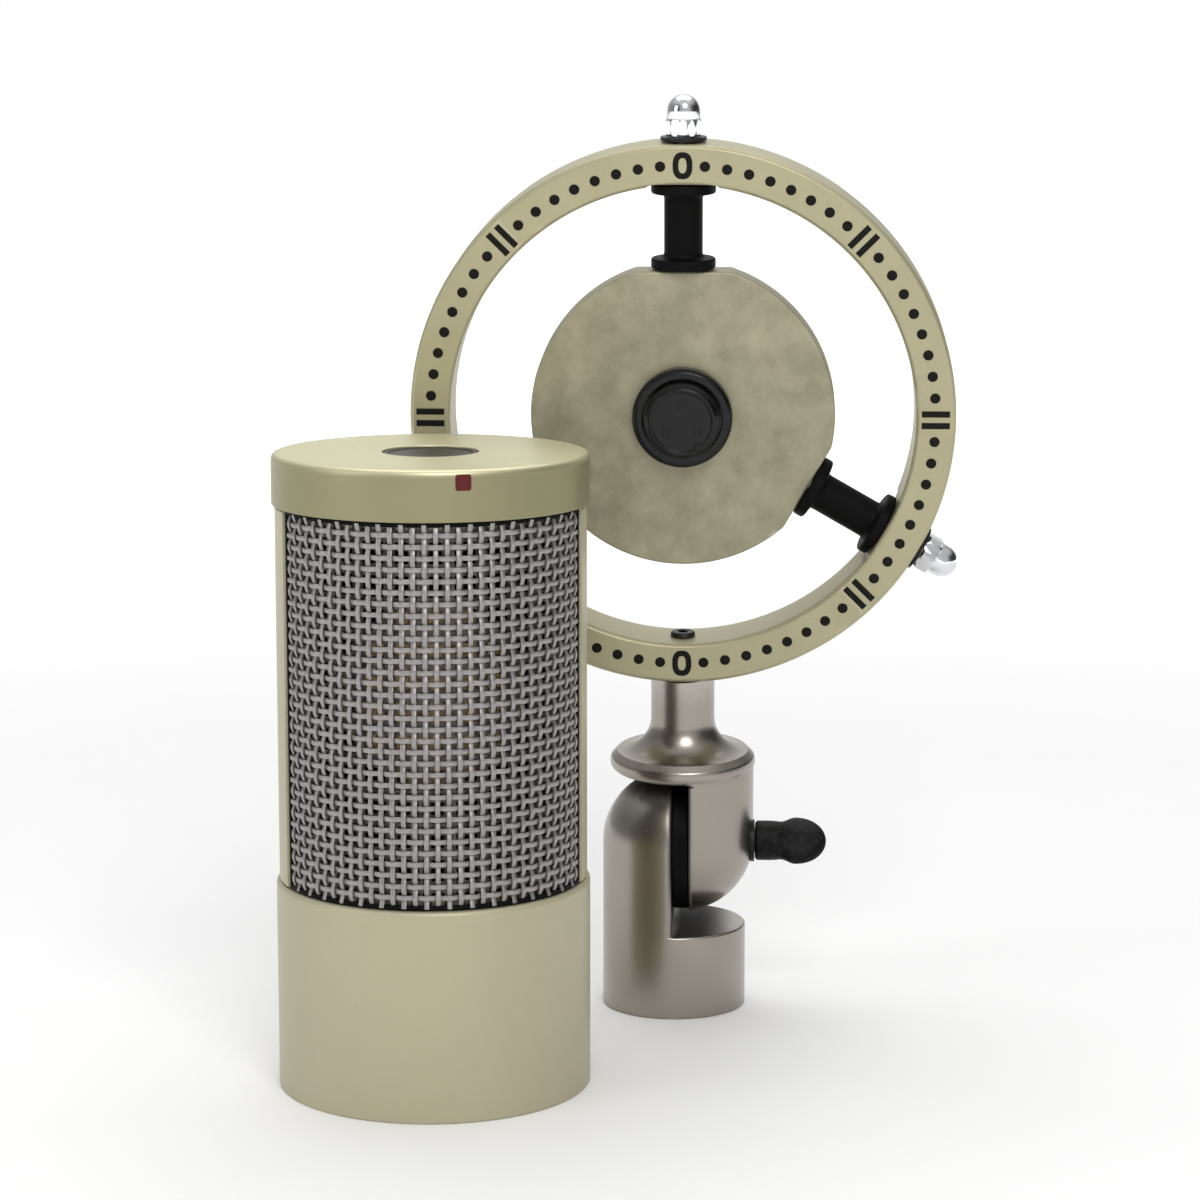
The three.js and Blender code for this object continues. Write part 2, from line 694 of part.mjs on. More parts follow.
function scaleRing() {
  const half = ringDepth / 2;
  const c = ringChamfer;
  const body = facingFront(turned([
    [ringInnerRadius + c, -half], [ringRadius - c, -half], [ringRadius, -half + c],
    [ringRadius, half - c], [ringRadius - c, half], [ringInnerRadius + c, half],
    [ringInnerRadius, half - c], [ringInnerRadius, -half + c], [ringInnerRadius + c, -half],
  ], ringSegments));
  const flatHalf = isolatorFlange + 2 * gap;
  const perIsolator = isolatorAngles.flatMap((angle) => [
    facingOut(rod(studHole, ringInnerRadius - overcut, ringRadius + overcut, tinySegments), angle),
    facingOut(rod(washerRadius + 2 * gap, nutFlat, ringRadius + overcut, smallSegments), angle),
    facingOut(block([-flatHalf, -half - overcut, ringInnerRadius - overcut], [
      flatHalf, half + overcut, isolatorFlat]), angle),
  ]);
  const screwSeat = rod(ringScrewHead + 2 * gap, ringInnerRadius - overcut, isolatorFlat, smallSegments);
  const screwHole = rod(ringScrewRadius + boltClearance, ringInnerRadius - overcut, ringRadius + overcut,
    tinySegments);
  return cut(body, ...perIsolator, facingOut(screwSeat, 180), facingOut(screwHole, 180));
}

function ringScrew() {
  const headFoot = isolatorFlat - gap;
  const headTip = headFoot - ringScrewHeadHeight;
  const end = ringRadius + ringScrewInNeck;
  const round = ringScrewRound;
  const body = turned([
    [0, headTip], ...arc(ringScrewHead - round, headTip + round, round, -90, 0),
    [ringScrewHead, headFoot], [ringScrewRadius, headFoot], [ringScrewRadius, end], [0, end],
  ], smallSegments);
  return facingOut(cut(body, rod(hexKeyFlat / 2, headTip - overcut, headTip + hexKeyDepth, hexSides)), 180);
}

const discFlat = ringInnerRadius - isolatorSpan;
const discRadius = discFlat + discFlatCut;
const isolatorLow = discFlat + gap;
const isolatorHigh = isolatorFlat - gap;

function isolator(angle) {
  const round = isolatorRound;
  const footTop = isolatorLow + isolatorFlangeHeight;
  const headLow = isolatorHigh - isolatorFlangeHeight;
  const f = isolatorFillet;
  const body = turned([
    [0, isolatorLow],
    [isolatorFlange - round, isolatorLow],
    [isolatorFlange, isolatorLow + round],
    [isolatorFlange, footTop - round],
    [isolatorFlange - round, footTop],
    ...arc(isolatorNeck + f, footTop + f, f, 270, 180),
    ...arc(isolatorNeck + f, headLow - f, f, 180, 90),
    [isolatorFlange - round, headLow],
    [isolatorFlange, headLow + round],
    [isolatorFlange, isolatorHigh - round],
    [isolatorFlange - round, isolatorHigh],
    [0, isolatorHigh],
  ], smallSegments);
  const depth = studInRubber + gap;
  return facingOut(cut(
    body,
    rod(studHole, isolatorLow - overcut, isolatorLow + depth, tinySegments),
    rod(studHole, isolatorHigh - depth, isolatorHigh + overcut, tinySegments),
  ), angle);
}

const washerLow = nutFlat + gap;
const nutLow = washerLow + washerThickness + gap;

function acornNut(angle) {
  const hexRadius = nutAcrossFlats / Math.sqrt(3);
  const domeStraight = nutHeight - nutDomeRadius;
  const hex = rod(hexRadius, nutLow, nutLow + nutHexHeight, hexSides);
  const bevel = nutBevel;
  const limit = turned([
    [0, nutLow], [hexRadius - bevel, nutLow], [hexRadius, nutLow + bevel],
    [hexRadius, nutLow + nutHexHeight - bevel], [hexRadius - bevel, nutLow + nutHexHeight],
    [0, nutLow + nutHexHeight],
  ], smallSegments);
  const dome = turned([
    [0, nutLow + nutHexHeight / 2], [nutDomeRadius, nutLow + nutHexHeight / 2],
    ...arc(0, nutLow + domeStraight, nutDomeRadius, 0, 90, roundSteps),
  ], smallSegments);
  const hole = rod(studHole, nutLow - overcut, nutLow + nutThreadDepth, tinySegments);
  return facingOut(cut(join(keepInside(hex, limit), dome), hole), angle);
}

const ringStudEnd = nutLow + nutThreadDepth - gap;

// ==== Disc and hub, drawn from the ring's centre with +Z towards the front
const discFront = ringDepth / 2 - discSetBack;
const discBack = discFront - discThickness;

function mountDisc() {
  const c = discChamfer;
  const body = facingFront(turned([
    [plugShankRadius + gap, discBack], [discRadius - c, discBack], [discRadius, discBack + c],
    [discRadius, discFront - c], [discRadius - c, discFront], [plugShankRadius + gap, discFront],
    [plugShankRadius + gap, discBack],
  ], bigSegments));
  const perIsolator = isolatorAngles.flatMap((angle) => [
    facingOut(block([-discRadius, -discRadius, discFlat], [
      discRadius, discRadius, discRadius + overcut]), angle),
    facingOut(rod(studHole, discFlat - studInDisc - gap, discRadius + overcut, tinySegments), angle),
  ]);
  return cut(body, ...perIsolator);
}

const hubLow = discFront + gap;

function hubCollar() {
  const inner = plugRadius + gap;
  const top = hubLow + collarHeight;
  const c = collarChamfer;
  return facingFront(turned([
    [inner, hubLow], [collarRadius, hubLow], [collarRadius, top - c], [collarRadius - c, top],
    [inner, top], [inner, hubLow],
  ], middleSegments));
}

function hubPlug() {
  const top = hubLow + plugHeight;
  const c = plugChamfer;
  const body = turned([
    [0, discBack + gap], [plugShankRadius, discBack + gap], [plugShankRadius, hubLow],
    [plugRadius, hubLow], [plugRadius, top - c], [plugRadius - c, top], [0, top],
  ], middleSegments);
  const contactHoles = contactAngles.map((angle) => {
    const [x, y] = polar(contactCircle, angle);
    const hole = rod(contactRadius + boltClearance, top - contactLength, top + overcut, tinySegments);
    return hole.translate(x, y, 0);
  });
  const indexHole = rod(indexRadius + boltClearance, top - indexDepth - gap, top + overcut, tinySegments);
  return facingFront(cut(body, ...contactHoles, indexHole.translate(...indexPlace, 0)));
}

function indexPin() {
  const top = hubLow + plugHeight;
  const pin = rod(indexRadius, top - indexDepth, top + indexProud, tinySegments);
  return facingFront(pin.translate(...indexPlace, 0));
}

const rearLow = discBack - gap;
const rearShellInner = rearShellRadius - rearShellWall;
const rearEnd = rearLow - rearShellLength;

function rearShell() {
  const flangeEnd = rearLow - rearFlangeThickness;
  return facingFront(turned([
    [rearShellInner, rearEnd], [rearShellRadius, rearEnd], [rearShellRadius, flangeEnd],
    [rearFlangeRadius, flangeEnd], [rearFlangeRadius, rearLow], [rearShellInner, rearLow],
    [rearShellInner, rearEnd],
  ], middleSegments));
}

const rearInsertEnd = rearLow - contactPlateThickness - gap - rearInsertLength;

function rearInsert() {
  const top = rearLow - contactPlateThickness - gap;
  const body = rod(rearShellInner - gap, rearInsertEnd, top, middleSegments);
  return facingFront(cut(body, ...rearPinAngles.map((angle) => {
    const [x, y] = polar(rearPinCircle, angle);
    const hole = rod(rearPinRadius + boltClearance, rearInsertEnd - overcut, top + overcut, tinySegments);
    return hole.translate(x, y, 0);
  })));
}

function rearPins() {
  const plate = rod(contactPlateRadius, rearLow - contactPlateThickness, rearLow, smallSegments);
  return facingFront(join(plate, ...rearPinAngles.map((angle) => {
    const [x, y] = polar(rearPinCircle, angle);
    const tip = rearInsertEnd - rearPinLength;
    return rod(rearPinRadius, tip, rearLow - contactPlateThickness / 2, tinySegments).translate(x, y, 0);
  })));
}

// ==== Thumb screw, drawn from the pivot with +X out of the head lug
const clampWasherLow = spotFaceX + gap;
const gripLow = clampWasherLow + clampWasherThickness + gap;

function clampShank() {
  return facingRight(rod(clampRadius, slotPlace - clampInBase, gripLow + shankInGrip, tinySegments));
}

function clampWasher() {
  const end = clampWasherLow + clampWasherThickness;
  return facingRight(tube(clampRadius + boltClearance, clampWasherRadius, clampWasherLow, end, smallSegments));
}

// A round hub that spreads into a thumb paddle with a round end.
function thumbGrip() {
  const hubTop = gripLow + gripHubLength;
  const hub = turned([
    [0, gripLow], [gripHubRadius, gripLow],
    ...arc(gripHubRadius - gripRound, hubTop - gripRound, gripRound, 0, 90),
    [0, hubTop],
  ], smallSegments);
  const paddle = new THREE.SphereGeometry(1, ...paddleSegments);
  paddle.scale(paddleWidth / 2, paddleThickness / 2, paddleLength / 2);
  paddle.translate(0, 0, hubTop - paddleSink + paddleLength / 2);
  const hole = rod(clampRadius + boltClearance, gripLow - overcut, gripLow + shankInGrip + gap, tinySegments);
  const whole = cut(join(hub, paddle), hole);
  return facingRight(whole.rotateZ((90 + paddleTurn) * degrees));
}

// ==== The mount put together
function makeMount() {
  const mount = new THREE.Group();
  piece(mount, 'swivel_base', 'satinNickel', swivelBase());
  const adapterTop = adapterSunk + adapterLength;
  const adapter = tube(adapterBore, standThreadRadius, adapterSunk, adapterTop, middleSegments);
  piece(mount, 'thread_adapter', 'brass', adapter).position.x = baseX;
  piece(mount, 'friction_washer', 'blackRubber', frictionWasher());
  piece(mount, 'clamp_washer', 'steel', clampWasher()).position.z = pivotHeight;
  piece(mount, 'clamp_shank', 'steel', clampShank()).position.z = pivotHeight;
  piece(mount, 'thumb_grip', 'blackPlastic', thumbGrip()).position.z = pivotHeight;

  const head = new THREE.Group();
  head.position.z = pivotHeight;
  head.rotation.x = restLean * degrees;
  mount.add(head);
  piece(head, 'swivel_head', 'satinNickel', swivelHead());

  const ring = new THREE.Group();
  ring.position.z = ringZ;
  head.add(ring);
  piece(ring, 'scale_ring', 'champagne', scaleRing());
  piece(ring, 'ring_screw', 'darkSteel', ringScrew());
  isolatorAngles.forEach((angle, i) => {
    const side = isolatorNames[i];
    piece(ring, `isolator_${side}`, 'blackRubber', isolator(angle));
    const ringStud = rod(studRadius, isolatorHigh - studInRubber, ringStudEnd, tinySegments);
    piece(ring, `ring_stud_${side}`, 'steel', facingOut(ringStud, angle));
    const discStud = rod(studRadius, discFlat - studInDisc, isolatorLow + studInRubber, tinySegments);
    piece(ring, `disc_stud_${side}`, 'steel', facingOut(discStud, angle));
    const washer = tube(studHole, washerRadius, washerLow, washerLow + washerThickness,
      smallSegments);
    piece(ring, `nut_washer_${side}`, 'darkSteel', facingOut(washer, angle));
    piece(ring, `acorn_nut_${side}`, 'chrome', acornNut(angle));
  });
  piece(ring, 'mount_disc', 'champagne', mountDisc());
  piece(ring, 'hub_collar', 'blackPlastic', hubCollar());
  piece(ring, 'hub_plug', 'blackPlastic', hubPlug());
  piece(ring, 'index_pin', 'brass', indexPin());
  piece(ring, 'rear_connector_shell', 'satinNickel', rearShell());
  piece(ring, 'rear_connector_insert', 'blackPlastic', rearInsert());
  piece(ring, 'rear_connector_pins', 'gold', rearPins());
  return mount;
}

// The whole stands on z = 0, with the middle of its box on the Z axis.
const object = new THREE.Group();
const standing = new THREE.Group();
standing.add(makeMicrophone(), makeMount());
object.add(standing);
const bounds = new THREE.Box3().setFromObject(standing, true);
const middle = bounds.getCenter(new THREE.Vector3());
standing.position.set(-middle.x, -middle.y, -bounds.min.z);

export default object;
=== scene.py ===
import json
import bpy
import bmesh
import numpy as np
from mathutils import Matrix, Vector


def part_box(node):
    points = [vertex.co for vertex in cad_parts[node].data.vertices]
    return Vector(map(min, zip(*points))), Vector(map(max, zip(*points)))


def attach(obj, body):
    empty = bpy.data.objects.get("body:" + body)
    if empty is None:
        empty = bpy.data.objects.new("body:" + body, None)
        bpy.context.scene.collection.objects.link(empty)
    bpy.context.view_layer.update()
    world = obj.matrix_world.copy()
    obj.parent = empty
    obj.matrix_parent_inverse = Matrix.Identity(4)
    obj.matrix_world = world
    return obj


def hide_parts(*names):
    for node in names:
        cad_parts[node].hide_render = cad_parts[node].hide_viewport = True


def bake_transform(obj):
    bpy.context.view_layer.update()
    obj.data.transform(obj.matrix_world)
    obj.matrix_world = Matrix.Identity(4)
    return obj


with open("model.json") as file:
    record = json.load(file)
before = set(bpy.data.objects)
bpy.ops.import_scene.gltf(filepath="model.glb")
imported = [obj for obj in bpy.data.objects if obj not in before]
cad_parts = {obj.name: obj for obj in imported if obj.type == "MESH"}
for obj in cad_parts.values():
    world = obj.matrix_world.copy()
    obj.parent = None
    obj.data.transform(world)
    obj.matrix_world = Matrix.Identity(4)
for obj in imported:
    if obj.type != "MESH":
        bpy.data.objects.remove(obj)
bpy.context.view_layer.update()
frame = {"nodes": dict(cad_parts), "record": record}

mm = 0.001
fullTurn = 2 * np.pi
scene = bpy.context.scene


# a dictionary whose values can also be read after a dot
class Sizes(dict):
    __getattr__ = dict.__getitem__


# where the sets of axes stand, all in mm
stance = Sizes({
    "micTurn": 7.5,        # degrees, the microphone's front towards +X
    "restLean": 4.5,       # degrees, the head and ring lean forward
    "headOffset": 1.7,     # head's centre line to +X of the base's
    "pivotHeight": 34.5,
    "ringAbovePivot": 90.0,
})


# degrees about an axis
def turnMatrix(axis, angle):
    return np.array(Matrix.Rotation(np.radians(angle), 4, axis))


def moveMatrix(x, y, z):
    return np.array(Matrix.Translation((x, y, z)))


def middleOf(node):
    low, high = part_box(node)
    return (low + high) / 2 / mm


micMiddle, baseMiddle = middleOf("body_shell"), middleOf("swivel_base")
micAxes = moveMatrix(micMiddle.x, micMiddle.y, 0) @ turnMatrix("Z", stance.micTurn)
baseAxes = moveMatrix(baseMiddle.x, baseMiddle.y, 0)
pivotAxes = moveMatrix(baseMiddle.x + stance.headOffset, baseMiddle.y, stance.pivotHeight)
headAxes = pivotAxes @ turnMatrix("X", stance.restLean)
ringAxes = headAxes @ moveMatrix(0, 0, stance.ringAbovePivot)
frontAxes = ringAxes @ turnMatrix("X", 90)        # a shape drawn along +Z looks to -Y
clampAxes = pivotAxes @ turnMatrix("Y", 90)       # a shape drawn along +Z looks to +X
isolatorAngles = {"top": 0, "right": 120, "left": 240}
spokeAxes = {side: ringAxes @ turnMatrix("Y", angle) for side, angle in isolatorAngles.items()}


# meshes from arrays
# angles round a whole turn, without the last, which is the first again
def roundTurn(steps):
    return np.linspace(0, fullTurn, steps, endpoint=False)


# rows by columns of points joined as four-sided faces, each row to the next and each column to the next
def gridFaces(rows, columns, closeRows=False):
    i = np.arange(rows if closeRows else rows - 1)[:, None]
    j = np.arange(columns)[None, :]
    nextI, nextJ = (i + 1) % rows, (j + 1) % columns
    corners = [i * columns + j, i * columns + nextJ, nextI * columns + nextJ, nextI * columns + j]
    return np.stack(np.broadcast_arrays(*corners), -1).reshape(-1, 4)


# radius, angle and height, as arrays of one grid, become points and faces
def onGrid(radius, angle, height, closeRows=False):
    points = np.stack(np.broadcast_arrays(radius * np.cos(angle), radius * np.sin(angle), height), -1)
    return points.reshape(-1, 3), gridFaces(*points.shape[:2], closeRows)


# six times the volume inside is the sum of each face's corner products; a negative sum means inside out
def facesOutward(points, quads):
    a, b, c, d = (points[quads[:, k]] for k in range(4))
    total = np.einsum("ij,ij->", a, np.cross(b, c)) + np.einsum("ij,ij->", a, np.cross(c, d))
    return quads if total > 0 else quads[:, ::-1]


# a mesh in the axes given, with one finish; shade is how much painted shade each point takes, most where it lies deep
# in a slot
def makePiece(name, shape, axes, finish, body, *replaced, caps=None, weld=True, sharp=32, shade=None):
    points, quads = shape
    faces = facesOutward(points, quads).tolist()
    if caps is not None:
        faces += caps.tolist()
    mesh = bpy.data.meshes.new(name)
    mesh.from_pydata((points @ axes[:3, :3].T + axes[:3, 3]) * mm, [], faces)
    if shade is not None:
        mesh.attributes.new("paintedSlotShade", "FLOAT", "POINT").data.foreach_set("value", shade.astype(np.float32))
    if weld:   # closes seams and poles
        work = bmesh.new()
        work.from_mesh(mesh)
        bmesh.ops.remove_doubles(work, verts=work.verts, dist=2e-6)
        bmesh.ops.dissolve_degenerate(work, edges=work.edges, dist=1e-7)
        work.to_mesh(mesh)
        work.free()
    mesh.shade_smooth()
    mesh.set_sharp_from_angle(angle=np.radians(sharp))
    mesh.update()
    piece = bpy.data.objects.new(name, mesh)
    scene.collection.objects.link(piece)
    mesh.materials.append(finishes[finish])
    if body:
        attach(piece, body)
    if replaced:
        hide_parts(*replaced)
    return piece


# the four corners of a section between two radii and two heights
def boxCorners(inner, outer, low, high):
    return [(inner, low), (outer, low), (outer, high), (inner, high)]


# each corner of a profile becomes a curve between points that lie its radius away along both sides,
# with two more points a little outside each end, so that flats stay flat in the shading
def roundCorners(corners, radii, steps=5, closed=True):
    c = np.asarray(corners, float)
    r = np.broadcast_to(np.asarray(radii, float), len(c)).copy()
    if not closed:
        r[0] = r[-1] = 0
    before, after = np.roll(c, 1, 0) - c, np.roll(c, -1, 0) - c
    spans = [np.maximum(np.linalg.norm(way, axis=1), 1e-9)[:, None] for way in (before, after)]
    reach = np.minimum(r[:, None], 0.44 * np.minimum(*spans))
    ways = before / spans[0], after / spans[1]
    start, end = c + ways[0] * reach, c + ways[1] * reach
    t = np.linspace(0, 1, steps + 1)[None, :, None]
    curve = (1 - t) ** 2 * start[:, None] + 2 * t * (1 - t) * c[:, None] + t**2 * end[:, None]
    near = [np.minimum(0.12 * reach, 0.02 * span) for span in spans]
    far = [np.minimum(0.7 * reach, 0.045 * span) for span in spans]
    supports = [start + ways[0] * far[0], start + ways[0] * near[0],
                end + ways[1] * near[1], end + ways[1] * far[1]]
    supports = [points[:, None] for points in supports]
    flat = np.concatenate([*supports[:2], curve, *supports[2:]], 1).reshape(-1, 2)
    keep = np.linalg.norm(flat - np.roll(flat, 1, 0), axis=1) > 1e-6
    keep[0] = True
    return flat[keep]


# a profile of radius and height turned about +Z; limit gives each radius its value at each angle
def turned(profile, steps, closed=True, limit=None):
    radius, height = np.asarray(profile, float).T[:, :, None]
    angle = roundTurn(steps)[None, :]
    r = np.broadcast_to(radius, (len(radius), steps))
    return onGrid(limit(r, angle) if limit else r, angle, height, closed)


# corners, each rounded by its own radius, turned about +Z; the profile is open if it starts on the axis
def lathe(corners, radii, steps, limit=None, curve=5):
    closed = corners[0][0] > 0
    return turned(roundCorners(corners, radii, curve, closed), steps, closed, limit)


# several closed shapes as one set of points and faces
def together(shapes):
    sizes = np.cumsum([0] + [len(p) for p, _ in shapes])
    return np.concatenate([p for p, _ in shapes]), np.concatenate([q + n for (_, q), n in zip(shapes, sizes)])


# each point times the matrix
def movedTo(shape, matrix):
    points, quads = shape
    return points @ matrix[:3, :3].T + matrix[:3, 3], quads


# copies of a shape at some degrees round a circle
def roundCircle(shape, radius, degrees):
    places = [moveMatrix(radius * np.cos(a), radius * np.sin(a), 0) for a in np.radians(degrees)]
    return together([movedTo(shape, place) for place in places])


# shared effects as shader groups
# a node with its settings; each value goes to the socket of its name, or n and the socket's number
def addNode(tree, kind, settings={}, **values):
    node = tree.nodes.new(kind)
    for key, value in settings.items():
        setattr(node, key, value)
    for key, value in values.items():
        socket = node.inputs[int(key[1:]) if key[0] == "n" and key[1:].isdigit() else key]
        if hasattr(value, "is_output"):
            tree.links.new(value, socket)
        else:
            socket.default_value = value
    return node


def mathNode(tree, operation, a, b=0.0, clamp=False):
    return addNode(tree, "ShaderNodeMath", {"operation": operation, "use_clamp": clamp}, n0=a, n1=b).outputs[0]


def times(tree, a, b, clamp=False):
    return mathNode(tree, "MULTIPLY", a, b, clamp)


# (value - start) * gain, kept between 0 and 1
def above(tree, value, start, gain):
    return times(tree, mathNode(tree, "SUBTRACT", value, start), gain, True)


# rises smoothly from first to last as the value goes from low to high
def smoothStep(tree, value, low, high, first=0.0, last=1.0):
    values = {"Value": value, "From Min": low, "From Max": high, "To Min": first, "To Max": last}
    return addNode(tree, "ShaderNodeMapRange", {"interpolation_type": "SMOOTHSTEP"}, **values).outputs[0]


def mixColour(tree, factor, first, second):
    first, second = ((*value, 1) if isinstance(value, tuple) else value for value in (first, second))
    return addNode(tree, "ShaderNodeMix", {"data_type": "RGBA"}, n0=factor, n6=first, n7=second).outputs[2]


def objectPoint(tree, scale=(1, 1, 1)):
    place = tree.nodes.new("ShaderNodeTexCoord").outputs["Object"]
    return addNode(tree, "ShaderNodeMapping", Vector=place, Scale=scale).outputs["Vector"]


def noiseAt(tree, point, scale, detail=3.0, rough=0.55):
    noise = addNode(tree, "ShaderNodeTexNoise", Vector=point, Scale=scale, Detail=detail, Roughness=rough)
    return noise.outputs["Fac"]


def surface(tree):
    return tree.nodes.new("ShaderNodeNewGeometry").outputs


# a group: its inputs with their values, and a recipe that gives a value for each output
def makeGroup(name, inputs, recipe):
    group = bpy.data.node_groups.new(name, "ShaderNodeTree")
    for socketName, value in inputs.items():
        socket = group.interface.new_socket(socketName, in_out="INPUT", socket_type="NodeSocketFloat")
        socket.default_value = value
    given = group.nodes.new("NodeGroupInput").outputs
    results = recipe(group, given)
    for socketName in results:
        group.interface.new_socket(socketName, in_out="OUTPUT", socket_type="NodeSocketFloat")
    put = group.nodes.new("NodeGroupOutput").inputs
    for socketName, value in results.items():
        group.links.new(value, put[socketName])
    return group


# bead-blasted grain: fine pits, and soft cloudy patches
def grainRecipe(tree, given):
    point = objectPoint(tree)
    fine = noiseAt(tree, point, given["Grain Scale"], 2.0, 0.6)
    patch = noiseAt(tree, point, given["Patch Scale"], 4.0, 0.6)
    spread = times(tree, mathNode(tree, "SUBTRACT", patch, 0.5), given["Patchiness"])
    return {"Patch": mathNode(tree, "ADD", spread, 0.5, True), "Height": fine,
            "Speck": above(tree, fine, 0.56, 6.0)}


# edges lighter: rubbed bright by wear, and on the disc's rim also a painted highlight; the surface's own convexity,
# broken up by a noise
def wearAndHighlightRecipe(tree, given):
    raised = above(tree, surface(tree)["Pointiness"], 0.52, 14.0)
    broken = noiseAt(tree, objectPoint(tree), given["Break Scale"], 3.0, 0.6)
    return {"Mask": times(tree, times(tree, raised, times(tree, broken, 1.6)), given["Amount"], True)}


# dust lies on what faces up, thicker in patches
def dustRecipe(tree, given):
    up = addNode(tree, "ShaderNodeSeparateXYZ", Vector=surface(tree)["Normal"]).outputs["Z"]
    patch = noiseAt(tree, objectPoint(tree), given["Scale"], 4.0, 0.6)
    return {"Mask": times(tree, times(tree, above(tree, up, 0.35, 1.5), patch), given["Amount"], True)}


# fine turning lines: a noise squeezed along one axis of the object
def linesRecipe(tree, given):
    return {"Height": noiseAt(tree, objectPoint(tree, (0.02, 0.02, 1.0)), given["Line Scale"], 2.0, 0.5)}


grainInputs = {"Grain Scale": 3000.0, "Patch Scale": 60.0, "Patchiness": 0.5}
grainGroup = makeGroup("beadGrain", grainInputs, grainRecipe)
wearAndHighlightGroup = makeGroup("edgeWearAndHighlight", {"Amount": 0.5, "Break Scale": 900.0}, wearAndHighlightRecipe)
dustGroup = makeGroup("settledDust", {"Amount": 0.3, "Scale": 160.0}, dustRecipe)
linesGroup = makeGroup("turningLines", {"Line Scale": 4000.0}, linesRecipe)
dustColour, paintedShadeColour = (0.42, 0.40, 0.36), (0.010, 0.007, 0.006)


def useGroup(tree, group, values):
    return addNode(tree, "ShaderNodeGroup", {"node_tree": group}, **values).outputs


# one finish: a colour that drifts between two tones, grain, edges worn bright (on the disc's rim also a painted
# highlight) and a little dust
def makeFinish(name, own):
    look = Sizes({**plainLook, **own})
    material = bpy.data.materials.new(name)
    material.use_nodes = True
    tree = material.node_tree
    sockets = tree.nodes["Principled BSDF"].inputs
    for socket, key in (("Metallic", "metal"), ("Specular IOR Level", "specular"), ("Coat Weight", "coat"),
                        ("Coat Roughness", "coatRough")):
        sockets[socket].default_value = look[key]
    grain = useGroup(tree, grainGroup, dict(zip(grainInputs, (look.grain, look.patch, look.patchiness))))
    wear = useGroup(tree, wearAndHighlightGroup, {"Amount": look.wear})["Mask"]
    dust = useGroup(tree, dustGroup, {"Amount": look.dust})["Mask"]
    colour = mixColour(tree, grain["Patch"], look.dark, look.light)
    colour = mixColour(tree, times(tree, grain["Speck"], look.speck), colour, look.speckColour)
    colour = mixColour(tree, wear, colour, look.edge)
    colour = mixColour(tree, dust, colour, dustColour)
    low, high = look.rough
    rough = mathNode(tree, "ADD", times(tree, grain["Patch"], high - low), low)
    if "slotDark" in look:       # painted shade where the slot is deep: darker, rougher and less metallic
        paintedShade = addNode(tree, "ShaderNodeAttribute", {"attribute_name": "paintedSlotShade"}).outputs["Fac"]
        paintedShade = times(tree, paintedShade, look.slotDark)
        colour = mixColour(tree, paintedShade, colour, paintedShadeColour)
        rough = mathNode(tree, "ADD", rough, times(tree, paintedShade, 0.45))
        tree.links.new(mathNode(tree, "SUBTRACT", look.metal, paintedShade, True), sockets["Metallic"])
    if "side" in look:      # painted shade: the turned side is coloured darker than the face on top
        height = addNode(tree, "ShaderNodeSeparateXYZ", Vector=objectPoint(tree)).outputs["Z"]
        side = smoothStep(tree, height, *look.sideBelow, 1.0, 0.0)
        colour = mixColour(tree, side, colour, mixColour(tree, grain["Patch"], *look.side))
    tree.links.new(colour, sockets["Base Color"])
    tree.links.new(mathNode(tree, "ADD", rough, times(tree, dust, 0.3), True), sockets["Roughness"])
    height = grain["Height"]
    if "lines" in look:
        lines = useGroup(tree, linesGroup, {"Line Scale": look.lines})["Height"]
        height = mathNode(tree, "ADD", times(tree, height, 0.4), lines)
    bump = addNode(tree, "ShaderNodeBump", Strength=look.bump, Distance=look.depth, Height=height)
    tree.links.new(bump.outputs["Normal"], sockets["Normal"])
    return material


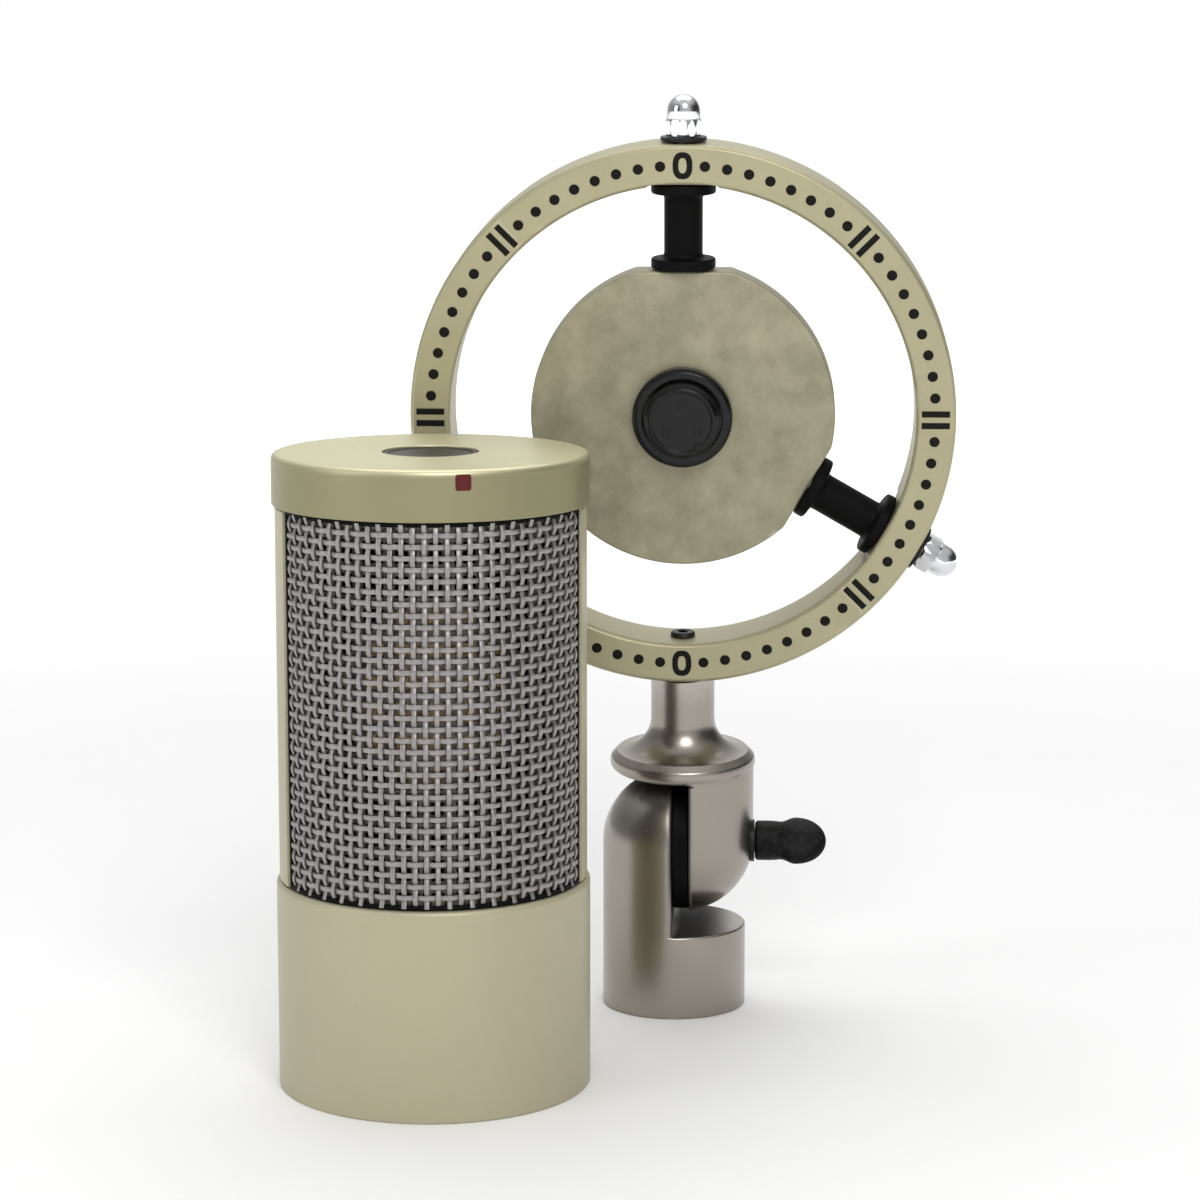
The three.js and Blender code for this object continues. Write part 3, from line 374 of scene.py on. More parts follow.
# what a look has where it doesn't say otherwise; scales are per metre, depth is in metres
plainLook = {
    "metal": 0.0, "grain": 2500.0, "patch": 120.0, "patchiness": 1.0, "wear": 0.3, "dust": 0.02, "speck": 0.1,
    "bump": 0.1, "depth": 0.00006, "specular": 0.5, "coat": 0.0, "coatRough": 0.2,
}
looks = {
    "champagne": {"slot": "champagne", "dark": (0.425, 0.395, 0.262), "light": (0.5, 0.468, 0.322),
        "speckColour": (0.58, 0.55, 0.39), "edge": (0.68, 0.65, 0.5), "metal": 0.3, "rough": (0.4, 0.5),
        "grain": 2600.0, "patch": 45.0, "patchiness": 0.8, "dust": 0.04, "speck": 0.16, "bump": 0.22,
        "coat": 0.06},
    # champagneCap: the side colours are painted shade, darker than the top
    "champagneCap": {"slot": "champagne", "dark": (0.58, 0.55, 0.345), "light": (0.66, 0.63, 0.42),
        "speckColour": (0.66, 0.63, 0.42), "edge": (0.8, 0.77, 0.58), "metal": 0.72, "rough": (0.38, 0.47),
        "grain": 2600.0, "patch": 60.0, "patchiness": 0.8, "wear": 0.35, "dust": 0.04, "speck": 0.12,
        "bump": 0.16, "lines": 2200.0, "depth": 0.00004, "sideBelow": (0.1204, 0.1217),
        "side": ((0.27, 0.25, 0.138), (0.345, 0.322, 0.19))},
    "champagneRing": {"slot": "champagne", "dark": (0.365, 0.337, 0.205), "light": (0.465, 0.433, 0.275),
        "speckColour": (0.58, 0.55, 0.38), "edge": (0.66, 0.62, 0.46), "metal": 0.45, "rough": (0.36, 0.46),
        "grain": 2200.0, "patch": 70.0, "patchiness": 1.2, "wear": 0.4, "dust": 0.04, "speck": 0.16,
        "bump": 0.22},
    # champagneDisc: its bright worn edges also paint the highlight on the disc's rim
    "champagneDisc": {"slot": "champagne", "dark": (0.245, 0.228, 0.145), "light": (0.4, 0.372, 0.255),
        "speckColour": (0.46, 0.435, 0.31), "edge": (0.6, 0.57, 0.46), "metal": 0.4, "rough": (0.38, 0.5),
        "grain": 1500.0, "patch": 150.0, "patchiness": 2.2, "wear": 0.5, "dust": 0.04, "speck": 0.22,
        "bump": 0.35},
    "satinNickel": {"slot": "satin_nickel", "dark": (0.315, 0.285, 0.25), "light": (0.4, 0.368, 0.328),
        "speckColour": (0.5, 0.47, 0.43), "edge": (0.75, 0.72, 0.67), "metal": 1.0, "rough": (0.26, 0.33),
        "grain": 4000.0, "patch": 60.0, "patchiness": 0.7, "wear": 0.45, "lines": 2600.0, "depth": 0.00003,
        "slotDark": 0.97},
    "chrome": {"slot": "chrome", "dark": (0.72, 0.73, 0.75), "light": (0.82, 0.83, 0.85),
        "speckColour": (0.85, 0.85, 0.86), "edge": (0.92, 0.92, 0.93), "metal": 1.0, "rough": (0.06, 0.11),
        "grain": 3000.0, "patch": 200.0, "patchiness": 0.8, "wear": 0.1, "bump": 0.02},
    "outerWire": {"slot": "wire_mesh", "dark": (0.225, 0.209, 0.205), "light": (0.35, 0.328, 0.318),
        "speckColour": (0.52, 0.5, 0.5), "edge": (0.62, 0.6, 0.59), "metal": 0.7, "rough": (0.32, 0.44),
        "grain": 2600.0, "patch": 240.0, "patchiness": 0.8, "wear": 0.2, "bump": 0.08},
    "innerWire": {"slot": "wire_mesh", "dark": (0.105, 0.096, 0.095), "light": (0.165, 0.152, 0.15),
        "speckColour": (0.26, 0.25, 0.25), "edge": (0.3, 0.29, 0.29), "metal": 0.7, "rough": (0.4, 0.52),
        "grain": 2600.0, "patch": 240.0, "patchiness": 0.8, "wear": 0.1, "dust": 0.0, "bump": 0.05},
    "blackRubber": {"slot": "black_rubber", "dark": (0.0025, 0.0025, 0.0026), "light": (0.006, 0.0058, 0.0058),
        "speckColour": (0.012, 0.012, 0.012), "edge": (0.016, 0.016, 0.016), "rough": (0.42, 0.56),
        "grain": 1500.0, "patch": 90.0, "wear": 0.4, "dust": 0.0, "bump": 0.25, "specular": 0.06},
    "blackPlastic": {"slot": "black_plastic", "dark": (0.0028, 0.0026, 0.003),
        "light": (0.0055, 0.0053, 0.0066), "speckColour": (0.014, 0.014, 0.016), "edge": (0.03, 0.027, 0.026),
        "rough": (0.26, 0.36), "grain": 1800.0, "patch": 90.0, "wear": 0.5, "dust": 0.0, "bump": 0.12,
        "specular": 0.12, "coat": 0.35, "coatRough": 0.16},
    "thumbPlastic": {"slot": "black_plastic", "dark": (0.0022, 0.0022, 0.0022),
        "light": (0.0095, 0.0095, 0.0095), "speckColour": (0.035, 0.035, 0.035), "edge": (0.02, 0.02, 0.02),
        "rough": (0.4, 0.56), "grain": 900.0, "patch": 420.0, "patchiness": 2.0, "dust": 0.01, "speck": 0.5,
        "bump": 0.9, "depth": 0.00025, "specular": 0.13},
    "linerCloth": {"slot": "black_rubber", "dark": (0.0045, 0.0045, 0.0045), "light": (0.01, 0.01, 0.0105),
        "speckColour": (0.03, 0.03, 0.03), "edge": (0.02, 0.02, 0.02), "rough": (0.8, 0.95), "grain": 2400.0,
        "wear": 0.1, "dust": 0.0, "speck": 0.5, "bump": 0.8, "depth": 0.00015, "specular": 0.05},
    "darkSteel": {"slot": "dark_steel", "dark": (0.014, 0.013, 0.013), "light": (0.035, 0.033, 0.032),
        "speckColour": (0.08, 0.08, 0.08), "edge": (0.16, 0.15, 0.15), "metal": 0.8, "rough": (0.32, 0.45),
        "patch": 150.0, "wear": 0.5, "specular": 0.3},
    "steel": {"slot": "steel", "dark": (0.34, 0.35, 0.36), "light": (0.48, 0.49, 0.5),
        "speckColour": (0.6, 0.6, 0.6), "edge": (0.7, 0.7, 0.7), "metal": 1.0, "rough": (0.28, 0.4),
        "dust": 0.05},
    "brass": {"slot": "brass", "dark": (0.42, 0.29, 0.11), "light": (0.6, 0.44, 0.19),
        "speckColour": (0.7, 0.55, 0.3), "edge": (0.8, 0.66, 0.4), "metal": 1.0, "rough": (0.25, 0.4),
        "dust": 0.05},
    "gold": {"slot": "gold", "dark": (0.66, 0.45, 0.15), "light": (0.8, 0.58, 0.24),
        "speckColour": (0.85, 0.66, 0.36), "edge": (0.9, 0.74, 0.45), "metal": 1.0, "rough": (0.18, 0.3),
        "wear": 0.2, "bump": 0.06},
    "bronzeInlay": {"slot": "bronze_inlay", "dark": (0.016, 0.014, 0.006), "light": (0.034, 0.029, 0.012),
        "speckColour": (0.07, 0.06, 0.03), "edge": (0.22, 0.19, 0.1), "metal": 0.5, "rough": (0.34, 0.46),
        "patch": 140.0, "patchiness": 1.6, "wear": 0.4, "dust": 0.04, "bump": 0.15, "specular": 0.2},
    "redMark": {"slot": "red_mark", "dark": (0.06, 0.004, 0.003), "light": (0.115, 0.007, 0.005),
        "speckColour": (0.22, 0.02, 0.012), "edge": (0.3, 0.03, 0.02), "rough": (0.3, 0.4), "patch": 400.0,
        "wear": 0.5, "dust": 0.01, "specular": 0.3},
    "blackPaint": {"slot": "black_plastic", "dark": (0.0025, 0.0024, 0.002), "light": (0.007, 0.0065, 0.005),
        "speckColour": (0.02, 0.02, 0.015), "edge": (0.02, 0.02, 0.014), "rough": (0.45, 0.6), "patch": 500.0,
        "wear": 0.2, "dust": 0.0, "specular": 0.15},
    "circuitGreen": {"slot": "circuit_green", "dark": (0.008, 0.05, 0.02), "light": (0.016, 0.085, 0.036),
        "speckColour": (0.05, 0.16, 0.08), "edge": (0.3, 0.28, 0.15), "rough": (0.3, 0.42), "grain": 1200.0,
        "patch": 200.0, "patchiness": 1.2, "wear": 0.2, "bump": 0.15, "coat": 0.3},
}
finishes = {name: makeFinish(name, look) for name, look in looks.items()}
print("finishes ready:", len(finishes))

# every CAD node in view takes the first finish of its slot; the wire mesh shows its inner layer, and the clamp shank
# takes dark steel as painted shade in the gap by the thumb screw
slotFinish = {"wire_mesh": "innerWire"}
for name, look in looks.items():
    slotFinish.setdefault(look["slot"], name)
slotOf = {part["node"]: part["material_slot"] for part in frame["record"]["subparts"]}
for name, node in frame["nodes"].items():
    node.data.materials.clear()
    node.data.materials.append(finishes["darkSteel" if name == "clamp_shank" else slotFinish[slotOf[name]]])

# microphone body, cap and frame
mic = Sizes({
    "radius": 30.0, "shellInner": 27.5, "bodyTop": 40.3, "windowLow": 40.6, "windowTop": 112.1,
    "capLow": 112.4, "capTop": 122.0, "capRoof": 119.0, "edge": 0.9, "capEdge": 1.3, "seamEdge": 0.3,
    "steps": 144, "ledgeLow": 3.9, "ledgeTop": 5.9, "ledgeInner": 22.5,
    "pocketRadius": 9.1, "pocketFloor": 120.9, "inlayRadius": 8.8, "inlayTop": 121.8, "inlayLow": 121.0,
    "inlayDish": 0.25, "railInner": 24.6, "railOuter": 27.2, "railRise": 1.5, "frameLow": 33.3,
    "frameTop": 118.6, "lipInner": 19.6, "lipThick": 2.0, "postOuter": 29.4, "postInner": 25.2,
    "postHalf": 19.0, "postEdge": 0.35,
})
sides = {"front": -90, "rear": 90}      # degrees, where each window's middle is


# a thick tube with a ledge inside near its foot: that section turned
def bodyShell():
    m = mic
    corners = [(m.shellInner, 0), (m.radius, 0), (m.radius, m.bodyTop), (m.shellInner, m.bodyTop),
               (m.shellInner, m.ledgeTop), (m.ledgeInner, m.ledgeTop), (m.ledgeInner, m.ledgeLow),
               (m.shellInner, m.ledgeLow)]
    return lathe(corners, [0.2, 0.5, m.edge, 0.2, 0, 0.2, 0.2, 0], m.steps)


# the flat top has rings of points across it, so that it shades evenly
def topCap():
    m = mic
    rings = [(radius, m.capTop) for radius in range(12, 27, 3)]
    corners = [(0, m.pocketFloor), (m.pocketRadius, m.pocketFloor), (m.pocketRadius, m.capTop), *rings,
               (m.radius, m.capTop), (m.radius, m.capLow), (m.shellInner, m.capLow), (m.shellInner, m.capRoof),
               (0, m.capRoof)]
    return lathe(corners, [0, 0, 0.2] + [0] * len(rings) + [m.capEdge, m.seamEdge, 0.2, 0, 0], m.steps)


# a flat disc with a narrow raised rim: that section turned
def capInlay():
    r, top, low, dish = mic.inlayRadius, mic.inlayTop, mic.inlayLow, mic.inlayTop - mic.inlayDish
    return lathe([(0, dish), (r - 1.1, dish), (r - 0.7, top), (r, top), (r, low), (0, low)],
                 [0, 0.1, 0.1, 0.15, 0.1, 0], 72)


# a closed profile of radius and height carried round part of a turn, its two ends drawn in to a line
def band(profile, middle, half, steps):
    angle = np.radians(np.linspace(middle - half, middle + half, steps))
    end = np.broadcast_to(profile.mean(0), (1, *profile.shape))
    rows = np.concatenate([end, np.broadcast_to(profile, (steps, *profile.shape)), end])
    return onGrid(rows[..., 0], np.concatenate([angle[:1], angle, angle[-1:]])[:, None], rows[..., 1])


# a rail at the foot and one with a lip at the top, turned, and two posts between them, each a band
def headFrame():
    m = mic
    low, top, lip = m.windowLow + m.railRise, m.windowTop - m.railRise, m.frameTop - m.lipThick
    upper = [(m.railInner, top), (m.railOuter, top), (m.railOuter, m.frameTop), (m.lipInner, m.frameTop),
             (m.lipInner, lip), (m.railInner, lip)]
    post = roundCorners(boxCorners(m.postInner, m.postOuter, m.windowLow, m.windowTop), m.postEdge)
    lower = boxCorners(m.railInner, m.railOuter, m.frameLow, low)
    return together([lathe(lower, 0.2, 96), lathe(upper, 0.2, 96),
                     band(post, 0, m.postHalf, 24), band(post, 180, m.postHalf, 24)])


mark = Sizes({"size": 3.0, "below": 2.3, "angle": -80.3, "outer": 30.06, "inner": 29.4, "squareness": 8,
              "points": 48})


# the square mark: a rounded square whose edge falls back to the cap, angle and height as the two directions
def frontMark():
    fan, power = roundTurn(mark.points), mark.squareness
    square = np.stack([np.cos(fan), np.sin(fan)], -1)
    square = square / (np.abs(square) ** power).sum(1, keepdims=True) ** (1 / power) * mark.size / 2
    sizes = np.array([0, 0.5, 0.9, 0.97, 1.0, 1.0, 0.0])[:, None]
    sunk = np.array([0, 0, 0, 0.02, 0.08, mark.outer - mark.inner, mark.outer - mark.inner])[:, None]
    across, up = sizes * square[:, 0], sizes * square[:, 1] + mic.capTop - mark.below
    return onGrid(mark.outer - sunk, np.radians(mark.angle) + across / mic.radius, up)


def onMic(name, shape, finish, *replaced):
    return makePiece(name, shape, micAxes, finish, "microphone", *replaced)


onMic("bodyShell", bodyShell(), "champagne", "body_shell")
onMic("topCap", topCap(), "champagneCap", "top_cap")
onMic("capInlay", capInlay(), "bronzeInlay", "cap_inlay")
onMic("headFrame", headFrame(), "champagne", "head_frame")
onMic("frontMark", frontMark(), "redMark", "front_mark")
print("microphone body ready")

# the woven windows
weaves = {
    "outer": Sizes({"radius": 28.6, "pitch": 2.1, "halfWide": 0.50, "halfThick": 0.27, "sway": 0.27,
                    "half": 69.6, "low": 40.75, "top": 111.95, "perPitch": 4, "sides": 6}),
    "inner": Sizes({"radius": 27.45, "pitch": 1.55, "halfWide": 0.47, "halfThick": 0.13, "sway": 0.13,
                    "half": 69.6, "low": 40.75, "top": 111.95, "perPitch": 3, "sides": 4}),
}


# wires up and wires across: each sways in and out as a cosine along its length, half a wave a pitch,
# so that it is in front where the other family is behind, and a flattened ring is carried along it
def wovenWindow(w, middle):
    arcLength, height = np.radians(w.half) * 2 * w.radius, w.top - w.low
    counts = [int(length / w.pitch) for length in (arcLength, height)]
    starts = [(length - (count - 1) * w.pitch) / 2 for length, count in zip((arcLength, height), counts)]
    section = roundTurn(w.sides) + np.pi / w.sides
    wide, thick = w.halfWide * np.cos(section), w.halfThick * np.sin(section)
    points, faces, caps, shift = [], [], [], 0
    for upright in (True, False):
        count, other = counts[0 if upright else 1], starts[1 if upright else 0]
        length, sign = (height, 1) if upright else (arcLength, -1)
        i = np.arange(count)[:, None, None]
        along = np.linspace(0, length, int(length / w.pitch * w.perPitch) + 1)[None, :, None]
        wave = sign * w.sway * np.cos(np.pi * ((along - other) / w.pitch + i))
        place = starts[0 if upright else 1] + i * w.pitch + wide + 0 * along
        along = along + 0 * place
        arc, z = (place, along) if upright else (along, place)
        angle, radial = np.radians(middle - w.half) + arc / w.radius, w.radius + wave + thick
        wires = np.stack([radial * np.cos(angle), radial * np.sin(angle), z + w.low], -1).reshape(-1, 3)
        samples = along.shape[1]
        offsets = (np.arange(count) * samples * w.sides)[:, None, None]
        tubes = (gridFaces(samples, w.sides)[None] + offsets).reshape(-1, 4)
        first, last = np.arange(w.sides)[::-1], np.arange(w.sides) + (samples - 1) * w.sides
        ends = (np.stack([first, last])[None] + offsets).reshape(-1, w.sides)
        outward = facesOutward(wires, tubes)
        points.append(wires)
        faces.append(outward + shift)
        caps.append((ends if outward is tubes else ends[:, ::-1]) + shift)
        shift += len(wires)
    return (np.concatenate(points), np.concatenate(faces)), np.concatenate(caps)


for layer, weave in weaves.items():
    for side, middle in sides.items():
        shape, caps = wovenWindow(weave, middle)
        makePiece(f"{layer}Weave_{side}", shape, micAxes, f"{layer}Wire", "microphone", f"{layer}_mesh_{side}",
                  caps=caps, weld=False, sharp=60)

seal = Sizes({"half": 70.9, "low": 40.4, "top": 112.35, "wide": 0.9, "inner": 28.0, "outer": 28.95,
              "edge": 0.25, "samples": 40})


# a dark rubber seal round each window, whose black also stands in for the shade in the gaps under the cap and beside
# the posts: nested outlines of the window, one for each point of a small rounded section; the outline is a rectangle
# over turn and height, and each point moves inwards by the section's own width
def windowSealAndShade(middle):
    section = roundCorners(boxCorners(0, seal.wide, seal.inner, seal.outer), seal.edge, steps=3)
    reach = np.radians(seal.half) * seal.outer
    run = np.linspace(-1, 1, seal.samples)
    across = np.concatenate([run, [1] * 6, -run, [-1] * 6]) * reach
    climb = np.linspace(0, 1, 8)[1:-1]
    up = np.concatenate([0 * run, climb, 0 * run + 1, 1 - climb])
    inwardAcross = np.where(np.abs(across) > reach - 1e-6, -np.sign(across), 0)
    inwardUp = np.where(up < 1e-6, 1, np.where(up > 1 - 1e-6, -1, 0))
    inset, radius = section.T
    arc = across[:, None] + inwardAcross[:, None] * inset
    z = seal.low + up[:, None] * (seal.top - seal.low) + inwardUp[:, None] * inset
    return onGrid(radius, np.radians(middle) + arc / seal.outer, z, True)


for side, middle in sides.items():
    onMic(f"windowSealAndShade_{side}", windowSealAndShade(middle), "blackRubber")

liner = Sizes({"outer": 26.75, "inner": 26.5, "low": 42.2, "top": 110.4, "half": 66.0, "edge": 0.08})


# thin cloth behind the rear window: its section carried round the window's turn
def rearLiner():
    section = roundCorners(boxCorners(liner.inner, liner.outer, liner.low, liner.top), liner.edge, steps=2)
    return band(section, sides["rear"], liner.half, 48)


onMic("rearLiner", rearLiner(), "linerCloth")
print("windows woven and sealed")

# the graduated ring
ring = Sizes({
    "outer": 54.5, "inner": 46.5, "depth": 14.0, "chamfer": 0.6, "nutFlat": 54.3, "seatFlat": 46.6,
    "seatHalf": 7.05, "steps": 360, "markRadius": 50.4, "dotRadius": 1.04, "barLength": 5.6,
    "barWidth": 1.25, "barGap": 2.35,
    "digitWide": 3.9, "digitHigh": 5.3, "stroke": 1.15, "squareness": 2.5, "proud": 0.05,
})
flatAngles = np.radians([90, -30, 210])      # the isolators' directions, from the ring's right hand


# nearest isolator's direction, as an angle from it
def fromFlat(angle):
    away = (angle[..., None] - flatAngles + np.pi) % fullTurn - np.pi
    return np.take_along_axis(away, np.abs(away).argmin(-1)[..., None], -1)[..., 0]


# outside, the radius is the smaller of the circle and the nut's flat;
# inside, it is the larger of the circle and the seat
def ringLimit(radius, angle):
    away = fromFlat(np.broadcast_to(angle, radius.shape))
    slope = np.cos(away)
    seat = (np.abs(np.sin(away)) * ring.inner < ring.seatHalf) & (radius < ring.inner + 0.3)
    flatIn = np.where(seat, np.maximum(radius, ring.seatFlat / slope), radius)
    return np.where(radius > (ring.outer + ring.inner) / 2, np.minimum(radius, ring.nutFlat / slope), flatIn)


# a box section with its corners cut off, turned, and held to the flats
def scaleRing():
    half, c, inner, outer = ring.depth / 2, ring.chamfer, ring.inner, ring.outer
    corners = [(inner + c, -half), (outer - c, -half), (outer, -half + c), (outer, half - c), (outer - c, half),
               (inner + c, half), (inner, half - c), (inner, -half + c)]
    return lathe(corners, 0.25, ring.steps, ringLimit, 3)


# a low closed pad with the outline given: wall, rounded shoulder and top, on the ring's front face
def pad(outline):
    centre, proud = outline.mean(0), ring.proud
    scale = np.array([0.0, 1.0, 1.0, 0.9, 0.0])[:, None, None]
    lift = ring.depth / 2 + np.array([-0.1, -0.1, proud * 0.6, proud, proud])[:, None, None]
    flat = centre + (outline - centre) * scale
    points = np.concatenate([flat, np.broadcast_to(lift, (*flat.shape[:2], 1))], -1)
    return points.reshape(-1, 3), gridFaces(5, len(outline))


# an oval ring: the outline of a nought carried round with a rounded-off section
def nought():
    turn, proud, power = roundTurn(48)[None, :], ring.proud, ring.squareness
    across, lift = np.array([(-0.5, -0.1), (0.5, -0.1), (0.5, proud * 0.6), (0.42, proud), (-0.42, proud),
                             (-0.5, proud * 0.6)]).T[:, :, None]
    wide, high = ((size - ring.stroke) / 2 + across * ring.stroke for size in (ring.digitWide, ring.digitHigh))
    squared = (np.abs(np.cos(turn)) ** power + np.abs(np.sin(turn)) ** power) ** (-1 / power)
    points = np.stack([wide * np.cos(turn) * squared, high * np.sin(turn) * squared,
                       ring.depth / 2 + lift + 0 * turn], -1)
    return points.reshape(-1, 3), gridFaces(6, 48, closeRows=True)


# every five degrees a dot, a pair of bars at the eighths, and a nought at the top and bottom
def scaleMarks():
    turn = roundTurn(20)
    dot = ring.dotRadius * np.stack([np.cos(turn), np.sin(turn)], -1)
    halfWide, halfLong = ring.barWidth / 2, ring.barLength / 2
    bar = np.array(boxCorners(-halfWide, halfWide, -halfLong, halfLong))
    bars = together([pad(bar + (side * ring.barGap / 2, 0)) for side in (-1, 1)])
    shapes = []
    for step in range(72):
        if step % 36 == 0:      # the nought stands upright at the bottom too
            shapes.append(movedTo(nought(), moveMatrix(0, ring.markRadius * (-1 if step else 1), 0)))
        else:
            spoke = turnMatrix("Z", -5.0 * step) @ moveMatrix(0, ring.markRadius, 0)
            shapes.append(movedTo(pad(dot) if step % 9 else bars, spoke))
    return together(shapes)


makePiece("scaleRing", scaleRing(), frontAxes, "champagneRing", "tilting_ring", "scale_ring", sharp=20)
makePiece("scaleMarks", scaleMarks(), frontAxes, "blackPaint", "tilting_ring")
print("ring and scale ready")

# screws, studs' nuts and washers
hardware = Sizes({
    "flats": 7.0, "nutLow": 55.7, "hexHeight": 3.2, "bevel": 0.55, "bevelRise": 0.33, "domeRadius": 3.25,
    "height": 8.0, "washerLow": 54.6, "washerOuter": 4.6, "washerInner": 2.3, "washerThick": 0.8,
    "screwHead": 2.5, "screwLow": 45.4, "screwHeadHigh": 46.3, "screwEnd": 62.5, "screwRadius": 2.0,
    "screwEdge": 0.5, "key": 2.0, "keyDepth": 0.8, "keyMouth": 1.35,
})


# a hexagon's edge lies at its half width over the cosine of the angle from the nearest flat
def hexRadius(angle, flats):
    away = (angle + np.pi / 6) % (np.pi / 3) - np.pi / 6
    return flats / 2 / np.cos(away)


# a hexagon with its ends bevelled, below a dome: radius is the smaller of the section and the hexagon
def acornNut():
    h = hardware
    low, hexTop, top = h.nutLow, h.nutLow + h.hexHeight, h.nutLow + h.height
    corner, dome = h.flats / np.sqrt(3), h.domeRadius
    bow = np.radians(np.linspace(0, 90, 14))
    foot = [(0, low), (corner - h.bevel, low), (corner, low + h.bevelRise), (corner, hexTop - h.bevelRise),
            (corner - h.bevel, hexTop), (dome + 0.12, hexTop), (dome, hexTop + 0.15)]
    crown = np.stack([dome * np.cos(bow), top - dome + dome * np.sin(bow)], -1)
    return turned(np.concatenate([foot, crown]), 72, False, lambda r, a: np.minimum(r, hexRadius(a, h.flats)))


# a box section turned
def nutWasher():
    h = hardware
    return lathe(boxCorners(h.washerInner, h.washerOuter, h.washerLow, h.washerLow + h.washerThick), 0.15, 48)


# the button head's socket is hexagonal down to its floor, and the rest is round;
# a radius of 9 stands for the hexagon's edge
def ringScrew():
    h = hardware
    bow = np.radians(np.linspace(0, 90, 7))
    low, floor, edge = h.screwLow, h.screwLow + h.keyDepth, h.screwEdge
    crown = np.stack([h.screwHead - edge + edge * np.sin(bow), low + edge * (1 - np.cos(bow))], -1)
    levels = np.concatenate([[(0, floor), (9, floor), (9, low + 0.1), (h.keyMouth, low)], crown,
                             [(h.screwHead, h.screwHeadHigh), (h.screwRadius, h.screwHeadHigh),
                              (h.screwRadius, h.screwEnd), (0, h.screwEnd)]])
    return turned(levels, 48, False, lambda r, a: np.where(r > 8, hexRadius(a, h.key), r))


for side, axes in spokeAxes.items():
    makePiece(f"acornNut_{side}", acornNut(), axes, "chrome", "tilting_ring", f"acorn_nut_{side}", sharp=25)
    makePiece(f"nutWasher_{side}", nutWasher(), axes, "darkSteel", "tilting_ring", f"nut_washer_{side}")
makePiece("ringScrew", ringScrew(), ringAxes @ turnMatrix("Y", 180), "darkSteel", "tilting_ring", "ring_screw")

# the disc and hub
disc = Sizes({
    "radius": 30.5, "flat": 29.0, "front": 4.0, "back": -4.0, "edge": 0.5, "steps": 240, "hubLow": 4.3,
    "collarRadius": 10.0, "collarInner": 7.9, "collarHeight": 3.2, "collarBevel": 0.7,
    "plugRadius": 7.6, "plugHeight": 6.8, "plugBevel": 1.0, "shankRadius": 5.5, "shankLow": -3.7,
    "sleeveCircle": 3.6, "sleeveRadius": 1.05, "boreRadius": 0.6, "indexAt": (3.2, -4.9), "indexRadius": 0.7,
})


# the disc's edge keeps its rounding where a flat cuts it: the flat moves in as the profile's radius does
def mountDisc():
    d = disc
    return lathe(boxCorners(0, d.radius, d.back, d.front), [0, d.edge, d.edge, 0], d.steps,
                 lambda r, a: np.minimum(r, (d.flat - (d.radius - r) * (r > d.flat * 0.9))
                                         / np.cos(fromFlat(np.broadcast_to(a, r.shape)))))


# a box section with its outer front corner cut off, turned
def hubCollar():
    d = disc
    low, top = d.hubLow, d.hubLow + d.collarHeight
    return lathe([(d.collarInner, low), (d.collarRadius, low), (d.collarRadius, top - d.collarBevel),
                  (d.collarRadius - d.collarBevel, top), (d.collarInner, top)], [0.1, 0.1, 0.3, 0.3, 0.25], 96)


# a shank, a wider head with a bevelled front, and a shallow dish in it: that section turned
def hubPlug():
    d = disc
    r, low, top, dish = d.plugRadius, d.hubLow, d.hubLow + d.plugHeight, d.hubLow + d.plugHeight - 0.25
    return lathe([(0, d.shankLow), (d.shankRadius, d.shankLow), (d.shankRadius, low), (r, low),
                  (r, top - d.plugBevel), (r - d.plugBevel, top), (6.1, top), (5.9, dish), (0, dish)],
                 [0, 0.2, 0, 0.1, 0.3, 0.3, 0.1, 0.1, 0], 96)


# three short sleeves round the middle, each a box section turned
def hubContacts():
    top = disc.hubLow + disc.plugHeight - 0.12
    return roundCircle(lathe(boxCorners(disc.boreRadius, disc.sleeveRadius, top - 2, top), 0.12, 24),
                       disc.sleeveCircle, [90, 210, 330])


# a small disc with a rounded front: that section turned, and moved to its place
def indexPin():
    tip = disc.hubLow + disc.plugHeight + 0.4
    return movedTo(lathe(boxCorners(0, disc.indexRadius, tip - 2.4, tip), [0, 0, 0.45, 0], 24),
                   moveMatrix(*disc.indexAt, 0))


def onDisc(name, shape, finish, *replaced):
    return makePiece(name, shape, frontAxes, finish, "floating_disc", *replaced)


onDisc("mountDisc", mountDisc(), "champagneDisc", "mount_disc")
onDisc("hubPlug", hubPlug(), "blackPlastic", "hub_plug")
onDisc("hubContacts", hubContacts(), "darkSteel")
onDisc("indexPin", indexPin(), "darkSteel", "index_pin")
makePiece("hubCollar", hubCollar(), frontAxes, "blackPlastic", "locking_collar", "hub_collar")

# the connector behind the disc
connector = Sizes({
    "start": -4.3, "flange": 12.0, "flangeThick": 1.6, "outer": 9.5, "inner": 8.2, "length": 14.0, "grooves": 3,
    "insertFrom": -5.6, "insertTo": -10.6, "pinRadius": 1.1, "pinCircle": 4.4, "pinTip": -16.6,
})


# a flanged tube with shallow grooves round it: that section turned
def connectorShell():
    c = connector
    end, foot = c.start - c.length, c.start - c.flangeThick
    grooves = [(c.outer - inset, foot - 3.0 - 1.5 * k - step) for k in range(c.grooves)
               for step, inset in ((0, 0), (0.1, 0.3), (0.5, 0.3), (0.6, 0))]
    corners = [(c.inner, end), (c.outer, end), *reversed(grooves), (c.outer, foot), (c.flange, foot),
               (c.flange, c.start), (c.inner, c.start)]
    return lathe(corners, [0.3, 0.4] + [0.08] * len(grooves) + [0.2, 0.3, 0.3, 0], 96)


# a disc with a rounded outer end, turned
def connectorInsert():
    c = connector
    return lathe(boxCorners(0, c.inner - 0.3, c.insertTo, c.insertFrom), [0, 0.4, 0.1, 0], 72)


# three pins with rounded tips round the middle, each turned
def connectorPins():
    c = connector
    pin = lathe(boxCorners(0, c.pinRadius, c.insertTo + 1, c.pinTip), [0, 0, 1.0, 0], 24, curve=8)
    return roundCircle(pin, c.pinCircle, [60, 180, 300])


